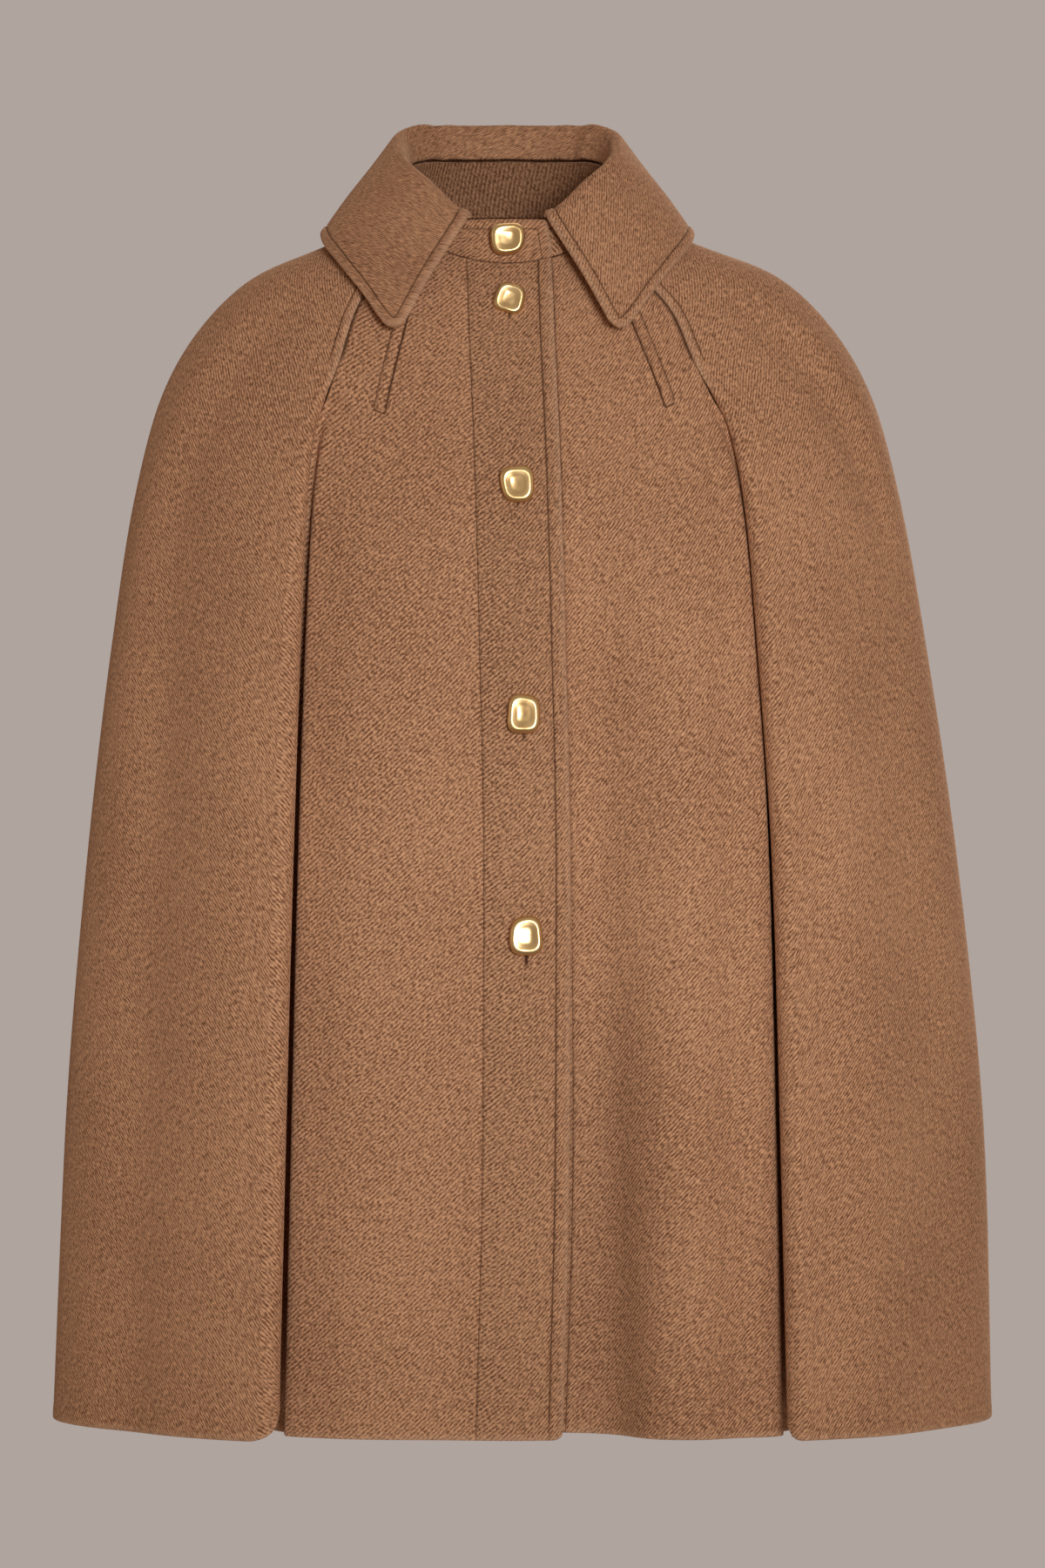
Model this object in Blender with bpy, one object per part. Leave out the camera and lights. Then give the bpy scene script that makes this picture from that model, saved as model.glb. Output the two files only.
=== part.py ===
"""Wool cape with a turned-down collar, in its worn, hollow form, with nobody inside.

The cloth hangs from a neck seam. Two front panels button at the centre under a lapped placket, two
side panels go over the shoulders and lap the fronts along a seam that opens into an arm slit and then
becomes a deep fold, and one back panel joins them. Every panel is a wall a few millimetres thick.

Frame: metres, +Z up, front towards -Y, the wearer's left towards +X. The origin is the middle of the
neck, at shoulder height, where a wearer holds the cape up.
"""
import math
from typing import NamedTuple

import bpy
import numpy as np

MM = 0.001                 # every size below is in millimetres

CLOTH = 2.4                # wall of a single panel
BAND = 3.0                 # wall of a placket or of the stand: folded double
LEAF = 3.4                 # wall of the turned-down collar leaf: folded double, with nap
SEAM = 0.3                 # space between two pieces at a seam
PLACKET_WIDTH = 53.0       # both plackets
UNDERLAP = 4.2             # how far the button placket lies behind the buttonhole placket
BUTTON_WIDTH = 21.0
BUTTON_HEIGHT = 23.5
BUTTON_DEPTH = 7.5

WOOL = (0.31, 0.15, 0.085, 1.0)      # camel brown, linear
WOOL_DARK = (0.27, 0.13, 0.072, 1.0)
GOLD = (0.80, 0.52, 0.18, 1.0)


class Ring(NamedTuple):
    """One level of the cape, from the neck seam down to the hem. Millimetres."""
    z_front: float         # height at the front centre, at the side and at the back centre
    z_side: float
    z_back: float
    half_width: float
    front_depth: float     # from the neck axis forward to the front panels
    side_depth: float      # the same for the oval that the side panels follow
    back_depth: float
    mid_x: float           # the level's middle: the cape hangs slightly askew
    placket_x: float       # middle of the buttonhole placket
    slit_right: float      # leading edge of the wearer's right side panel
    slit_left: float       # and of the left one
    fold_depth: float      # how far back the fold behind that edge goes
    fold_out: float        # and how far outside the edge its bottom lies
    roll: float            # radius of the edge's roll
    arm_gap: float         # how far the front's edge stays off the seam, to let an arm through
    back_seam: float       # from the middle to each back seam
    recess: float          # how far the left front swings back under the placket


RINGS = (
    #    front   side   back  width frontd sided backd  mid  plack  slitR  slitL  fold  out  roll gap  seam recess
    Ring(-24.0,   8.0,  14.0,  76.0,  72.0,  72.0,  62.0, -9.5, -8.4,  -64.0,  44.0,   0.0,  0.0, 3.0, 0.0,  44.0,  0.0),
    Ring(-42.0, -10.0,  -3.0, 122.5,  80.0,  80.0,  76.0, -5.5, -7.4,  -88.0,  71.0,   0.0,  0.0, 3.0, 0.0,  70.0,  0.0),
    Ring(-66.0, -27.5, -28.0, 164.0,  90.0,  90.0,  88.0, -4.0, -6.6, -103.0,  92.0,   0.0,  0.0, 3.0, 0.0,  92.0,  0.0),
    Ring(-100., -60.5, -66.0, 199.0, 103.0, 103.0,  98.0, -4.0, -5.0, -114.0, 107.0,   0.0,  0.0, 3.0, 0.0, 110.0,  0.0),
    Ring(-142., -104., -112., 223.5, 116.0, 118.0, 106.0, -3.8, -3.2, -129.0, 128.5,  13.0,  9.0, 4.0, 2.0, 122.0,  0.0),
    Ring(-190., -170., -175., 241.0, 127.0, 132.0, 113.0, -3.4, -1.6, -134.5, 139.0,  28.0, 17.0, 6.0, 12.0, 131.0,  0.0),
    Ring(-265., -260., -260., 255.5, 137.0, 149.0, 120.0, -2.0,  0.3, -137.5, 145.5,  44.0, 23.0, 8.0, 13.0, 140.0,  0.0),
    Ring(-400., -400., -400., 272.8, 146.0, 167.0, 131.0,  0.2,  2.9, -141.5, 154.0,  76.0, 27.0, 9.0, 0.0, 151.0,  6.0),
    Ring(-570., -570., -570., 287.0, 152.0, 182.0, 142.0,  1.6,  2.3, -145.5, 158.5,  98.0, 30.0, 9.0, 0.0, 160.0, 29.0),
    Ring(-745., -745., -745., 293.0, 156.0, 193.0, 150.0,  0.0, -1.8, -149.5, 162.5, 115.0, 32.0, 9.0, 0.0, 168.0, 45.0),
)
HEM = len(RINGS) - 1
ROWS_BETWEEN = (2, 2, 2, 3, 2, 2, 2, 2, 3)     # rows of facets between one ring and the next
SLIT_TOP = 3.0                                 # the lapped seam ends at this ring and the slit starts
FOLDED_BY = 3.7                                # from this ring down the edge is turned right back
OUT_FROM, OUT_WITHIN = 3.5, 0.7                # the fold's bottom moves outwards from this ring, within this much
LEFT_ARM_SHARE = 1.15                          # the left arm slit hangs this much wider
CORNER = 1.0                                   # how much squarer than an ellipse the fronts get below the slit
FLUTE_TOP = 4.0                                # the back's soft flutes start here
FLUTE_DEPTH = 9.0                              # and are this deep at the hem
FLUTES = 4.0                                   # waves in half a turn

# height of each button's middle: the first is on the stand, the others are on the placket
BUTTON_HEIGHTS = (-11.8, -48.5, -164.0, -304.0, -438.7)


def smooth(x):
    """0 up to x = 0, 1 from x = 1, and an S-curve between."""
    x = np.clip(x, 0.0, 1.0)
    return x * x * (3.0 - 2.0 * x)


def monotone(table, knots, at):
    """Smooth curve through the table's rows, one column per size, that never overshoots a row.
    At each row the slope is the harmonic mean of its two neighbours' slopes, or flat at a turn."""
    table, knots, at = np.array(table, float), np.array(knots, float), np.asarray(at, float)
    gaps = np.diff(knots)
    steps = np.diff(table, axis=0) / gaps[:, None]
    same_way = steps[:-1] * steps[1:] > 0
    total = np.where(same_way, steps[:-1] + steps[1:], 1.0)
    slope = np.zeros_like(table)
    slope[1:-1] = np.where(same_way, 2.0 * steps[:-1] * steps[1:] / total, 0.0)
    slope[0], slope[-1] = steps[0], steps[-1]
    row = np.clip(np.searchsorted(knots, at, side="right") - 1, 0, len(gaps) - 1)
    t = ((at - knots[row]) / gaps[row])[..., None]
    rise = t * t * (3.0 - 2.0 * t)
    bend = slope[row] * t * (1.0 - t) ** 2 - slope[row + 1] * t * t * (1.0 - t)
    return table[row] * (1.0 - rise) + table[row + 1] * rise + bend * gaps[row][..., None]


def level(s):
    """The ring's sizes at level s, 0 at the neck seam and HEM at the hem."""
    columns = monotone(RINGS, range(len(RINGS)), s)
    return Ring(*np.moveaxis(columns, -1, 0))


def oval(s, angle, side):
    """Point of the body's oval at an angle from the front centre, in radians, on one side (-1 or +1).
    Half an ellipse in front and half a fuller one behind; the height goes with the cosine squared."""
    ring = level(s)
    cosine, sine = np.cos(angle), np.sin(angle)
    front = cosine > 0
    depth = np.where(front, ring.side_depth, ring.back_depth)
    height = np.where(front, ring.z_front, ring.z_back)
    behind = smooth((angle - 1.75) / 0.5)
    flute = FLUTE_DEPTH * smooth((s - FLUTE_TOP) / (HEM - FLUTE_TOP)) * behind
    swell = 1.0 - flute / 200.0 * (1.0 - np.cos(2.0 * FLUTES * (math.pi - angle)))
    x = ring.mid_x + side * ring.half_width * sine * swell
    y = -depth * cosine * swell
    z = ring.z_side + (height - ring.z_side) * cosine ** 2
    return np.stack(np.broadcast_arrays(x, y, z), -1)


def across(ring, side):
    """From the middle out to the slit's edge, as a positive length."""
    slit = ring.slit_left if side > 0 else ring.slit_right
    return side * (slit - ring.mid_x)


def fold_bottom(s, side):
    """Where front and side panel are sewn together: across, y and how sharply the fold has turned."""
    ring = level(s)
    turned = smooth((s - SLIT_TOP) / (FOLDED_BY - SLIT_TOP))
    reach = across(ring, side)
    edge_y = -ring.side_depth * np.sqrt(1.0 - (reach / ring.half_width) ** 2)
    out = ring.fold_out * smooth((s - OUT_FROM) / OUT_WITHIN)
    return reach + out, edge_y + ring.fold_depth, turned


def side_panel(side):
    """Surface of a side panel: u = 0 at the back seam, `edge_at` where the leading edge starts to roll,
    `roll_to` where it has rolled and 1 at the bottom of the fold."""
    edge_at, roll_to = 0.72, 0.88

    def surface(u, s):
        ring = level(s)
        reach = across(ring, side)
        start = np.arcsin((reach + ring.roll) / ring.half_width)
        end = math.pi - np.arcsin(ring.back_seam / ring.half_width) - 0.5 * SEAM / ring.half_width
        panel = oval(s, end + (start - end) * np.minimum(u / edge_at, 1.0), side)
        bottom_x, bottom_y, turned = fold_bottom(s, side)
        half_gap = 0.5 * (SEAM + CLOTH * turned)
        # the lapped, flat edge that the panel has above the slit
        w = np.clip((u - edge_at) / (1.0 - edge_at), 0.0, 1.0)
        flat = oval(s, np.arcsin((reach + ring.roll + (half_gap - ring.roll) * w) / ring.half_width), side)
        # the turned edge that it has along the fold: a round, then back and outwards in a curve that
        # is steepest at its start and straight back at the bottom
        brink = oval(s, start, side)
        slant = np.arctan2(2.0 * (bottom_x - reach), np.maximum(ring.fold_depth - 2.0 * ring.roll, ring.roll))
        turn = np.clip((u - edge_at) / (roll_to - edge_at), 0.0, 1.0) * (math.pi / 2 + slant)
        back = np.clip((u - roll_to) / (1.0 - roll_to), 0.0, 1.0)
        x = reach + ring.roll * (1.0 - np.sin(turn))
        y = brink[..., 1] + ring.roll * (1.0 - np.cos(turn))
        x = x + (bottom_x + half_gap - x) * (1.0 - (1.0 - back) ** 2)
        y = y + (bottom_y - y) * back
        fold = np.stack(np.broadcast_arrays(ring.mid_x + side * x, y, brink[..., 2]), -1)
        edge = flat + (fold - flat) * turned[..., None]
        return np.where((u > edge_at)[..., None], edge, panel)

    return surface


def front_edge(s, side):
    """How far out a front panel's edge lies: at the seam in the fold, or short of it at the arm slit."""
    bottom_x, _, turned = fold_bottom(s, side)
    wider = LEFT_ARM_SHARE if side > 0 else 1.0
    return bottom_x - 0.5 * (SEAM + CLOTH * turned) - wider * level(s).arm_gap


def front_curve(s, x, side):
    """A front panel's point at a place across, with its oval's half width and corner exponent.
    The oval has rounded corners and passes through the front panel's edge, deep in the fold."""
    ring = level(s)
    end_x, end_y = front_edge(s, side), fold_bottom(s, side)[1]
    corner = 2.0 + CORNER * smooth((s - SLIT_TOP) / 3.0)
    share = np.clip(-end_y / ring.front_depth, 0.0, 0.999) ** corner
    width = end_x / (1.0 - share) ** (1.0 / corner)
    out = np.clip(np.abs(x) / width, 0.0, 1.0)
    y = -ring.front_depth * (1.0 - out ** corner) ** (1.0 / corner)
    z = ring.z_side + (ring.z_front - ring.z_side) * (1.0 - np.clip(np.abs(x) / ring.half_width, 0, 1) ** 2)
    return np.stack(np.broadcast_arrays(ring.mid_x + x, y, z), -1), width, corner


def front_point(s, x, side):
    """Point of a front panel or placket at x from the level's middle, on the front of the cape."""
    return front_curve(s, x, side)[0]


def behind_placket(point, s, x):
    """Moves a point of the left front back: under the other placket, and into its slack fold."""
    ring = level(s)
    under = UNDERLAP * (1.0 - smooth((x - 30.0) / (0.85 * across(ring, 1) - 30.0)))
    slack = ring.recess * (1.0 - smooth((x - 5.0) / 85.0))
    return point + np.stack(np.broadcast_arrays(0.0 * x, under + slack, 0.0 * x), -1)


def front_panel(side):
    """Surface of a front panel: u = 0 at its placket seam, 1 at the bottom of the fold."""
    def surface(u, s):
        ring = level(s)
        end_x = front_edge(s, side)
        _, width, corner = front_curve(s, 0.0 * u, side)
        seam = side * (ring.placket_x - ring.mid_x) + 0.5 * PLACKET_WIDTH + 0.5 * SEAM
        first = np.arcsin(np.clip(seam / width, 0, 1) ** (corner / 2))
        last = np.arcsin(np.clip(end_x / width, 0, 1) ** (corner / 2))
        x = width * np.sin(first + (last - first) * u) ** (2 / corner)
        point = front_point(s, side * x, side)
        return behind_placket(point, s, x) if side > 0 else point
    return surface


def placket(side):
    """Surface of a placket, as wide as it is sewn: u = 0 at its free edge, 1 at its seam."""
    def surface(u, s):
        ring = level(s)
        middle = ring.placket_x - ring.mid_x
        x = middle + side * (u - 0.5) * (PLACKET_WIDTH - SEAM)
        point = front_point(s, x, side)
        return behind_placket(point, s, x) if side > 0 else point
    return surface


def back_panel(u, s):
    """Surface of the back panel: u = -1 at the wearer's right back seam, +1 at the left one."""
    ring = level(s)
    seam = math.pi - np.arcsin(ring.back_seam / ring.half_width) + 0.5 * SEAM / ring.half_width
    angle = math.pi - (math.pi - seam) * np.abs(u)
    return oval(s, angle, np.where(u < 0, -1.0, 1.0))


# --- collar -------------------------------------------------------------------------------------

class Station(NamedTuple):
    """The collar at one angle round the neck. Millimetres, and degrees from the front centre."""
    angle: float           # of the stand and of the roll
    top_out: float         # top of the stand: out from the neck's middle, and height
    top_z: float
    roll_out: float        # the line where the collar turns over
    roll_z: float
    edge_angle: float      # the leaf's outer edge
    edge_out: float
    edge_z: float


STATIONS = (
    #       angle  top  top_z  roll roll_z  edge  out  edge_z
    Station(  0.0, 66.0,  4.0, 67.5,  7.0,  20.0, 126.0, -84.0),
    Station( 20.0, 66.0,  4.0, 67.5,  7.0,  33.0, 124.0, -71.0),
    Station( 45.0, 67.0, 18.0, 71.0, 31.0,  51.5, 119.0, -38.0),
    Station( 70.0, 65.0, 31.0, 68.5, 47.5,  69.0, 119.5, -14.0),
    Station( 90.0, 63.0, 39.0, 66.0, 58.0,  90.0, 116.5,  -0.5),
    Station(110.0, 63.0, 46.0, 68.0, 67.0, 110.0, 112.0,   1.0),
    Station(130.0, 61.0, 50.0, 66.0, 73.0, 130.0, 106.0,  -1.0),
    Station(180.0, 57.0, 52.0, 60.0, 74.5, 180.0,  89.0,  -3.0),
)
NECK_X = RINGS[0].mid_x
LEAF_RISE = 1.9            # the leaf starts this far above the stand
LEAF_BULGE = 1.5           # the leaf's outward curve between the roll and the edge
LEAF_START = 20.2          # degrees from the front centre to each leaf's front edge
STAND_END = 21.2           # and past it to each end of the stand
STAND_LAP = 1.8            # the stand's upper end stands this far out, and its lower end this far in
STAND_RISE = 2.0           # the stand starts this far above the neck seam
SHOULDER_RISE = 0.6        # and this much more where the shoulder lies nearly flat


def station(angle):
    """The collar's sizes at an angle in degrees, the same on both sides of the front centre."""
    away = np.abs((np.asarray(angle, float) + 180.0) % 360.0 - 180.0)
    columns = monotone(STATIONS, [row.angle for row in STATIONS], away)
    return Station(*np.moveaxis(columns, -1, 0))


def polar(angle, out, z):
    """Point at an angle in degrees from the front centre, round the neck's middle."""
    turn = np.radians(angle)
    return np.stack(np.broadcast_arrays(NECK_X + out * np.sin(turn), -out * np.cos(turn), z), -1)


def stand(angle, v):
    """Surface of the stand, at an angle in degrees, from its lower end round to its upper end, that
    passes the front twice: v = 0 at the neck seam and 1 at the top."""
    at = station(angle)
    turn = np.radians(angle)
    ring = RINGS[0]
    ahead = np.cos(turn) > 0
    depth = np.where(ahead, ring.front_depth, ring.back_depth)
    height = np.where(ahead, ring.z_front, ring.z_back)
    seam_z = ring.z_side + (height - ring.z_side) * np.cos(turn) ** 2
    foot_z = seam_z + STAND_RISE + SHOULDER_RISE * smooth(1.4 - 2.0 * np.cos(turn))
    foot = np.hypot(ring.half_width * np.sin(turn), depth * np.cos(turn))
    foot_angle = np.degrees(np.arctan2(ring.half_width * np.sin(turn), depth * np.cos(turn)))
    lap = STAND_LAP * ((angle - 180.0) / (180.0 + STAND_END)) ** 5
    foot_point = polar(foot_angle, foot + lap, foot_z)
    top_point = polar(angle, at.top_out + lap, at.top_z)
    return foot_point + (top_point - foot_point) * v[..., None]


def leaf(angle, v):
    """Surface of the collar leaf, at an angle in degrees from the front centre: v = 0 at the top of
    the stand, about 0.25 at the roll and 1 at the outer edge."""
    at = station(angle)
    edge_angle = np.where(angle > 180.0, 360.0 - at.edge_angle, at.edge_angle)
    rise = np.maximum(at.roll_z - at.top_z, 3.0)
    over = polar(angle, at.roll_out + 8.0, at.roll_z - 4.5)
    edge = polar(edge_angle, at.edge_out, at.edge_z)
    halfway = 0.5 * (over + edge)
    bulge = np.stack(np.broadcast_arrays(np.sin(np.radians(edge_angle)),
                                         -np.cos(np.radians(edge_angle)), 0.6), -1)
    foot_z = at.top_z + LEAF_RISE
    rows = [polar(angle, at.top_out, foot_z),
            polar(angle, at.roll_out - 0.6, foot_z + 0.6 * rise),
            polar(angle, at.roll_out + 3.0, at.roll_z),
            over,
            halfway + LEAF_BULGE * bulge,
            edge]
    knots = (0.0, 0.12, 0.26, 0.36, 0.68, 1.0)
    stacked = np.stack(rows)
    return spline(stacked, knots, v)


def spline(rows, knots, at):
    """Cubic through rows of points, each row at its knot; the slope at a row joins its neighbours."""
    knots = np.array(knots)
    slope = np.empty_like(rows)
    slope[1:-1] = (rows[2:] - rows[:-2]) / (knots[2:] - knots[:-2])[:, None, None, None]
    slope[0] = (rows[1] - rows[0]) / (knots[1] - knots[0])
    slope[-1] = (rows[-1] - rows[-2]) / (knots[-1] - knots[-2])
    row = np.clip(np.searchsorted(knots, at, side="right") - 1, 0, len(knots) - 2)
    gap = (knots[row + 1] - knots[row])[..., None]
    t = (at - knots[row])[..., None] / gap
    start, end, out, into = (np.take_along_axis(stack, k[None, ..., None], 0)[0]
                             for stack, k in ((rows, row), (rows, row + 1), (slope, row), (slope, row + 1)))
    rise = t * t * (3.0 - 2.0 * t)
    bend = out * t * (1.0 - t) ** 2 - into * t * t * (1.0 - t)
    return start * (1.0 - rise) + end * rise + bend * gap


# --- solids -------------------------------------------------------------------------------------

def material(name, colour, roughness, metallic=0.0):
    """A Principled material."""
    made = bpy.data.materials.new(name)
    made.use_nodes = True
    shader = made.node_tree.nodes["Principled BSDF"]
    shader.inputs["Base Color"].default_value = colour
    shader.inputs["Roughness"].default_value = roughness
    shader.inputs["Metallic"].default_value = metallic
    return made


def solid(name, points, faces, finish):
    """An object from points in millimetres and the faces that close it."""
    mesh = bpy.data.meshes.new(name)
    mesh.from_pydata((np.asarray(points) * MM).tolist(), [], faces)
    mesh.materials.append(finish)
    mesh.shade_smooth()
    mesh.set_sharp_from_angle(angle=math.radians(50))
    made = bpy.data.objects.new(name, mesh)
    bpy.context.scene.collection.objects.link(made)
    return made


def wall(name, surface, across_steps, down_steps, thickness, finish):
    """A closed wall on both sides of a surface of two parameters, one facet row per step.
    The normal is the cross product of small central differences, so neighbours on one surface agree."""
    u, v = np.meshgrid(across_steps, down_steps, indexing="ij")
    nudge = 1e-4
    du = surface(u + nudge, v) - surface(u - nudge, v)
    dv = surface(u, v + nudge) - surface(u, v - nudge)
    normal = np.cross(du, dv)
    normal /= np.linalg.norm(normal, axis=-1, keepdims=True)
    middle = surface(u, v)
    columns, rows = u.shape
    count = columns * rows
    points = np.concatenate([(middle + 0.5 * thickness * normal).reshape(-1, 3),
                             (middle - 0.5 * thickness * normal).reshape(-1, 3)])
    index = np.arange(count).reshape(columns, rows)
    a, b, c, d = index[:-1, :-1], index[1:, :-1], index[1:, 1:], index[:-1, 1:]
    front = np.concatenate([np.stack([a, b, c], -1).reshape(-1, 3), np.stack([a, c, d], -1).reshape(-1, 3)])
    back = front[:, ::-1] + count
    rim = np.concatenate([index[:, 0], index[-1, 1:], index[-2::-1, -1], index[0, -2:0:-1]])
    after = np.roll(rim, -1)
    sides = np.concatenate([np.stack([rim, rim + count, after], -1),
                            np.stack([after, rim + count, after + count], -1)])
    faces = np.concatenate([front, back, sides])
    return solid(name, points, faces.tolist(), finish)


def ring_steps():
    """Levels of the facet rows, from the neck seam to the hem."""
    steps = [np.linspace(k, k + 1, rows, endpoint=False) for k, rows in enumerate(ROWS_BETWEEN)]
    return np.append(np.concatenate(steps), HEM)


def button(name, z, out, finish):
    """A cast nugget: a rounded square with a raised rim and a shallow dish, lying on the placket."""
    centre_level = np.interp(-z, [-row for row in level(np.linspace(0, HEM, 400)).z_front],
                             np.linspace(0, HEM, 400))
    ring = level(centre_level)
    above, here, below = (front_point(centre_level + step, np.array(ring.placket_x - ring.mid_x), -1)
                          for step in (-0.5, 0.0, 0.5))
    down = (below - above) / np.linalg.norm(below - above)
    right = np.array([1.0, 0.0, 0.0])
    outward = np.cross(down, right)
    outward /= np.linalg.norm(outward)
    if outward[1] > 0:
        outward = -outward
    here = np.array([ring.placket_x - 0.6, here[1], z]) + outward * (0.5 * BAND + out)
    # share of the width and height above the cloth, from the back's middle to the dish
    profile = ((0.0, 0.0), (0.62, 0.0), (0.9, 0.12), (1.0, 0.42), (0.96, 0.76), (0.8, 1.0),
               (0.58, 0.97), (0.3, 0.86), (0.0, 0.82))
    turns = np.linspace(0, 2 * math.pi, 16, endpoint=False)
    square = 1.0 / (np.abs(np.cos(turns)) ** 3.2 + np.abs(np.sin(turns)) ** 3.2) ** (1 / 3.2)
    uneven = 1.0 + 0.035 * np.sin(2 * turns + 0.9) + 0.025 * np.sin(3 * turns)
    points, faces = [here], []
    for share, height in profile[1:-1]:
        x = 0.5 * BUTTON_WIDTH * share * square * uneven * np.cos(turns)
        y = 0.5 * BUTTON_HEIGHT * share * square * uneven * np.sin(turns)
        points += [here + right * p + down * -q + outward * height * BUTTON_DEPTH for p, q in zip(x, y)]
    points.append(here + outward * profile[-1][1] * BUTTON_DEPTH)
    count, last = len(turns), len(points) - 1
    for k in range(count):
        after = (k + 1) % count
        faces.append((0, 1 + after, 1 + k))
        for row in range(len(profile) - 3):
            low, high = 1 + row * count, 1 + (row + 1) * count
            faces += [(low + k, low + after, high + after), (low + k, high + after, high + k)]
        top = last - count
        faces.append((top + k, top + after, last))
    return solid(name, np.array(points), faces, finish)


def main():
    """Builds the cape."""
    for old in list(bpy.data.objects):
        bpy.data.objects.remove(old)
    wool = material("camel_wool", WOOL, 0.92)
    band = material("camel_wool_band", WOOL_DARK, 0.92)
    gold = material("polished_gold", GOLD, 0.2, 1.0)
    rows = ring_steps()
    edge_steps = np.array([0.76, 0.80, 0.84, 0.88, 0.91, 0.95, 1.0])
    for word, side in (("right", -1), ("left", 1)):
        wall(f"{word}_front", front_panel(side), np.linspace(0, 1, 12), rows, CLOTH, wool)
        side_steps = np.concatenate([np.linspace(0, 0.72, 14), edge_steps])
        wall(f"{word}_side", side_panel(side), side_steps, rows, CLOTH, wool)
        wall(f"{word}_placket", placket(side), np.array([0.0, 0.5, 1.0]), rows, BAND, band)
    wall("back", back_panel, np.linspace(-1, 1, 17), rows, CLOTH, wool)
    leaf_angles = np.linspace(LEAF_START, 360.0 - LEAF_START, 33)
    under_end = np.array([-STAND_END, -10.0, 0.0, 10.0])
    stand_angles = np.concatenate([under_end, leaf_angles, 360.0 - under_end[::-1]])
    wall("collar_stand", stand, stand_angles, np.array([0.0, 1.0]), BAND, band)
    leaf_steps = np.array([0.0, 0.12, 0.19, 0.26, 0.31, 0.36, 0.5, 0.68, 0.84, 1.0])
    wall("collar_leaf", leaf, leaf_angles, leaf_steps, LEAF, wool)
    for number, z in enumerate(BUTTON_HEIGHTS, 1):
        button(f"button_{number}", z, STAND_LAP + 0.8 if number == 1 else 0.5, gold)


if __name__ == "__main__":
    main()
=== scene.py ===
"""Looks of a hip-length wool cape, hollow as it hangs when worn: camel twill and cast gold buttons.

The form repeats the cape's own sizes, in millimetres: a table of rings from the neck seam to the hem, and a
table of stations round the collar. Each cloth piece is a thin closed shell on that form. Its grid is laid out
in the cloth's own millimetres from every edge, so that topstitching, puffed edges, tucks and creases lie
where they are sewn or pressed. Frame: +Z up, the front towards -Y, the wearer's left towards +X.
"""
from __future__ import annotations

import logging
import math
from dataclasses import dataclass, field
from enum import Enum
from typing import Callable, NamedTuple, Sequence

import bpy
import numpy as np
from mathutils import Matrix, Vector

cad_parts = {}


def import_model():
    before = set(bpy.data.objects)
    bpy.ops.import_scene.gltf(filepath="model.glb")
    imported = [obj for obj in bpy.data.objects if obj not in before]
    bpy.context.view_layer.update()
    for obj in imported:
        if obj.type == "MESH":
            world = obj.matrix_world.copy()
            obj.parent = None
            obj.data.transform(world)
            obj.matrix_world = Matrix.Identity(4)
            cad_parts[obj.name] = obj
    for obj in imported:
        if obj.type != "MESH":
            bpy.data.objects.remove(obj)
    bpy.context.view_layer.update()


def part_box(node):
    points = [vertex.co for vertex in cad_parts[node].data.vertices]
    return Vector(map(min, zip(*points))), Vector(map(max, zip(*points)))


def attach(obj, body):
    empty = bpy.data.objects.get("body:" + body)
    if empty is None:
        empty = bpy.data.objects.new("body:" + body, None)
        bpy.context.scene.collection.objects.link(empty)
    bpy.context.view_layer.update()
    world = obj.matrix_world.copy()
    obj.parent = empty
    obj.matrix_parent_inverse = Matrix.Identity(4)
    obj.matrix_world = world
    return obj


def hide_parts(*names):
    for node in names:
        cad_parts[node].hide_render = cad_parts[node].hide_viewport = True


Array = np.ndarray
Surface = Callable[[Array, Array], Array]

MM = 0.001                 # every size of the cape below is in millimetres
SEAM = 0.3                 # space between two pieces at a seam
GRAIN_MAP = "Cloth"        # UV map in metres along and across each piece's grain
NAP_AND_PAINTED_SHADE = "edge_nap_and_painted_shade"      # attribute: 1 on an edge for its worn nap, 0 from a few millimetres in, down to -2 for painted shade in a sewn furrow
NAP_REACH = 5.0            # how far in from a free edge its worn nap shows
PAINTED_SHADE_DEPTHS = (0.25, 0.95)   # depths of a groove at which its painted shade starts, and is darkest
FURROW_PAINTED_SHADE = 2.0          # how far the attribute falls in a furrow, to paint its shade,
SEAM_PAINTED_SHADE = 0.35           # and this share of it for each millimetre that a sewn edge turns down, painted shade too
SEAM_TURN = 0.6            # how far an outer face turns down into a sewn edge,
SEAM_REACH = 1.1           # within this distance of it
HEM_TURNING = 9.0          # the hem is puffed over this width,
HEM_PUFF = 0.25            # by this much

log = logging.getLogger("cape")


class Side(Enum):
    """The wearer's two sides, as the sign of X."""

    RIGHT = -1
    LEFT = 1


class Edge(Enum):
    """The four edges of a cloth piece's grid."""

    START = "from_start"
    END = "from_end"
    TOP = "from_top"
    HEM = "from_hem"


class Slot(Enum):
    """The record's material slots."""

    CLOTH = "wool_cloth"
    METAL = "gold_metal"


# --- curves -------------------------------------------------------------------------------------


def smooth(x: Array | float) -> Array:
    """0 up to x = 0, 1 from x = 1, and an S-curve between."""
    x = np.clip(x, 0.0, 1.0)
    return x * x * (3.0 - 2.0 * x)


def hump(x: Array, middle: Array | float, spread: Array | float) -> Array:
    """A soft hump, 1 at its middle and about a third at its spread: e to the minus square."""
    return np.exp(-(((x - middle) / spread) ** 2))


def cubic(t: Array, gap: Array, start: Array, end: Array, out: Array, into: Array) -> Array:
    """The cubic from start to end over a gap, at the share t of it, with the slopes out and into its ends."""
    rise = t * t * (3.0 - 2.0 * t)
    return start * (1.0 - rise) + end * rise + (out * t * (1.0 - t) ** 2 - into * t * t * (1.0 - t)) * gap


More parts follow.
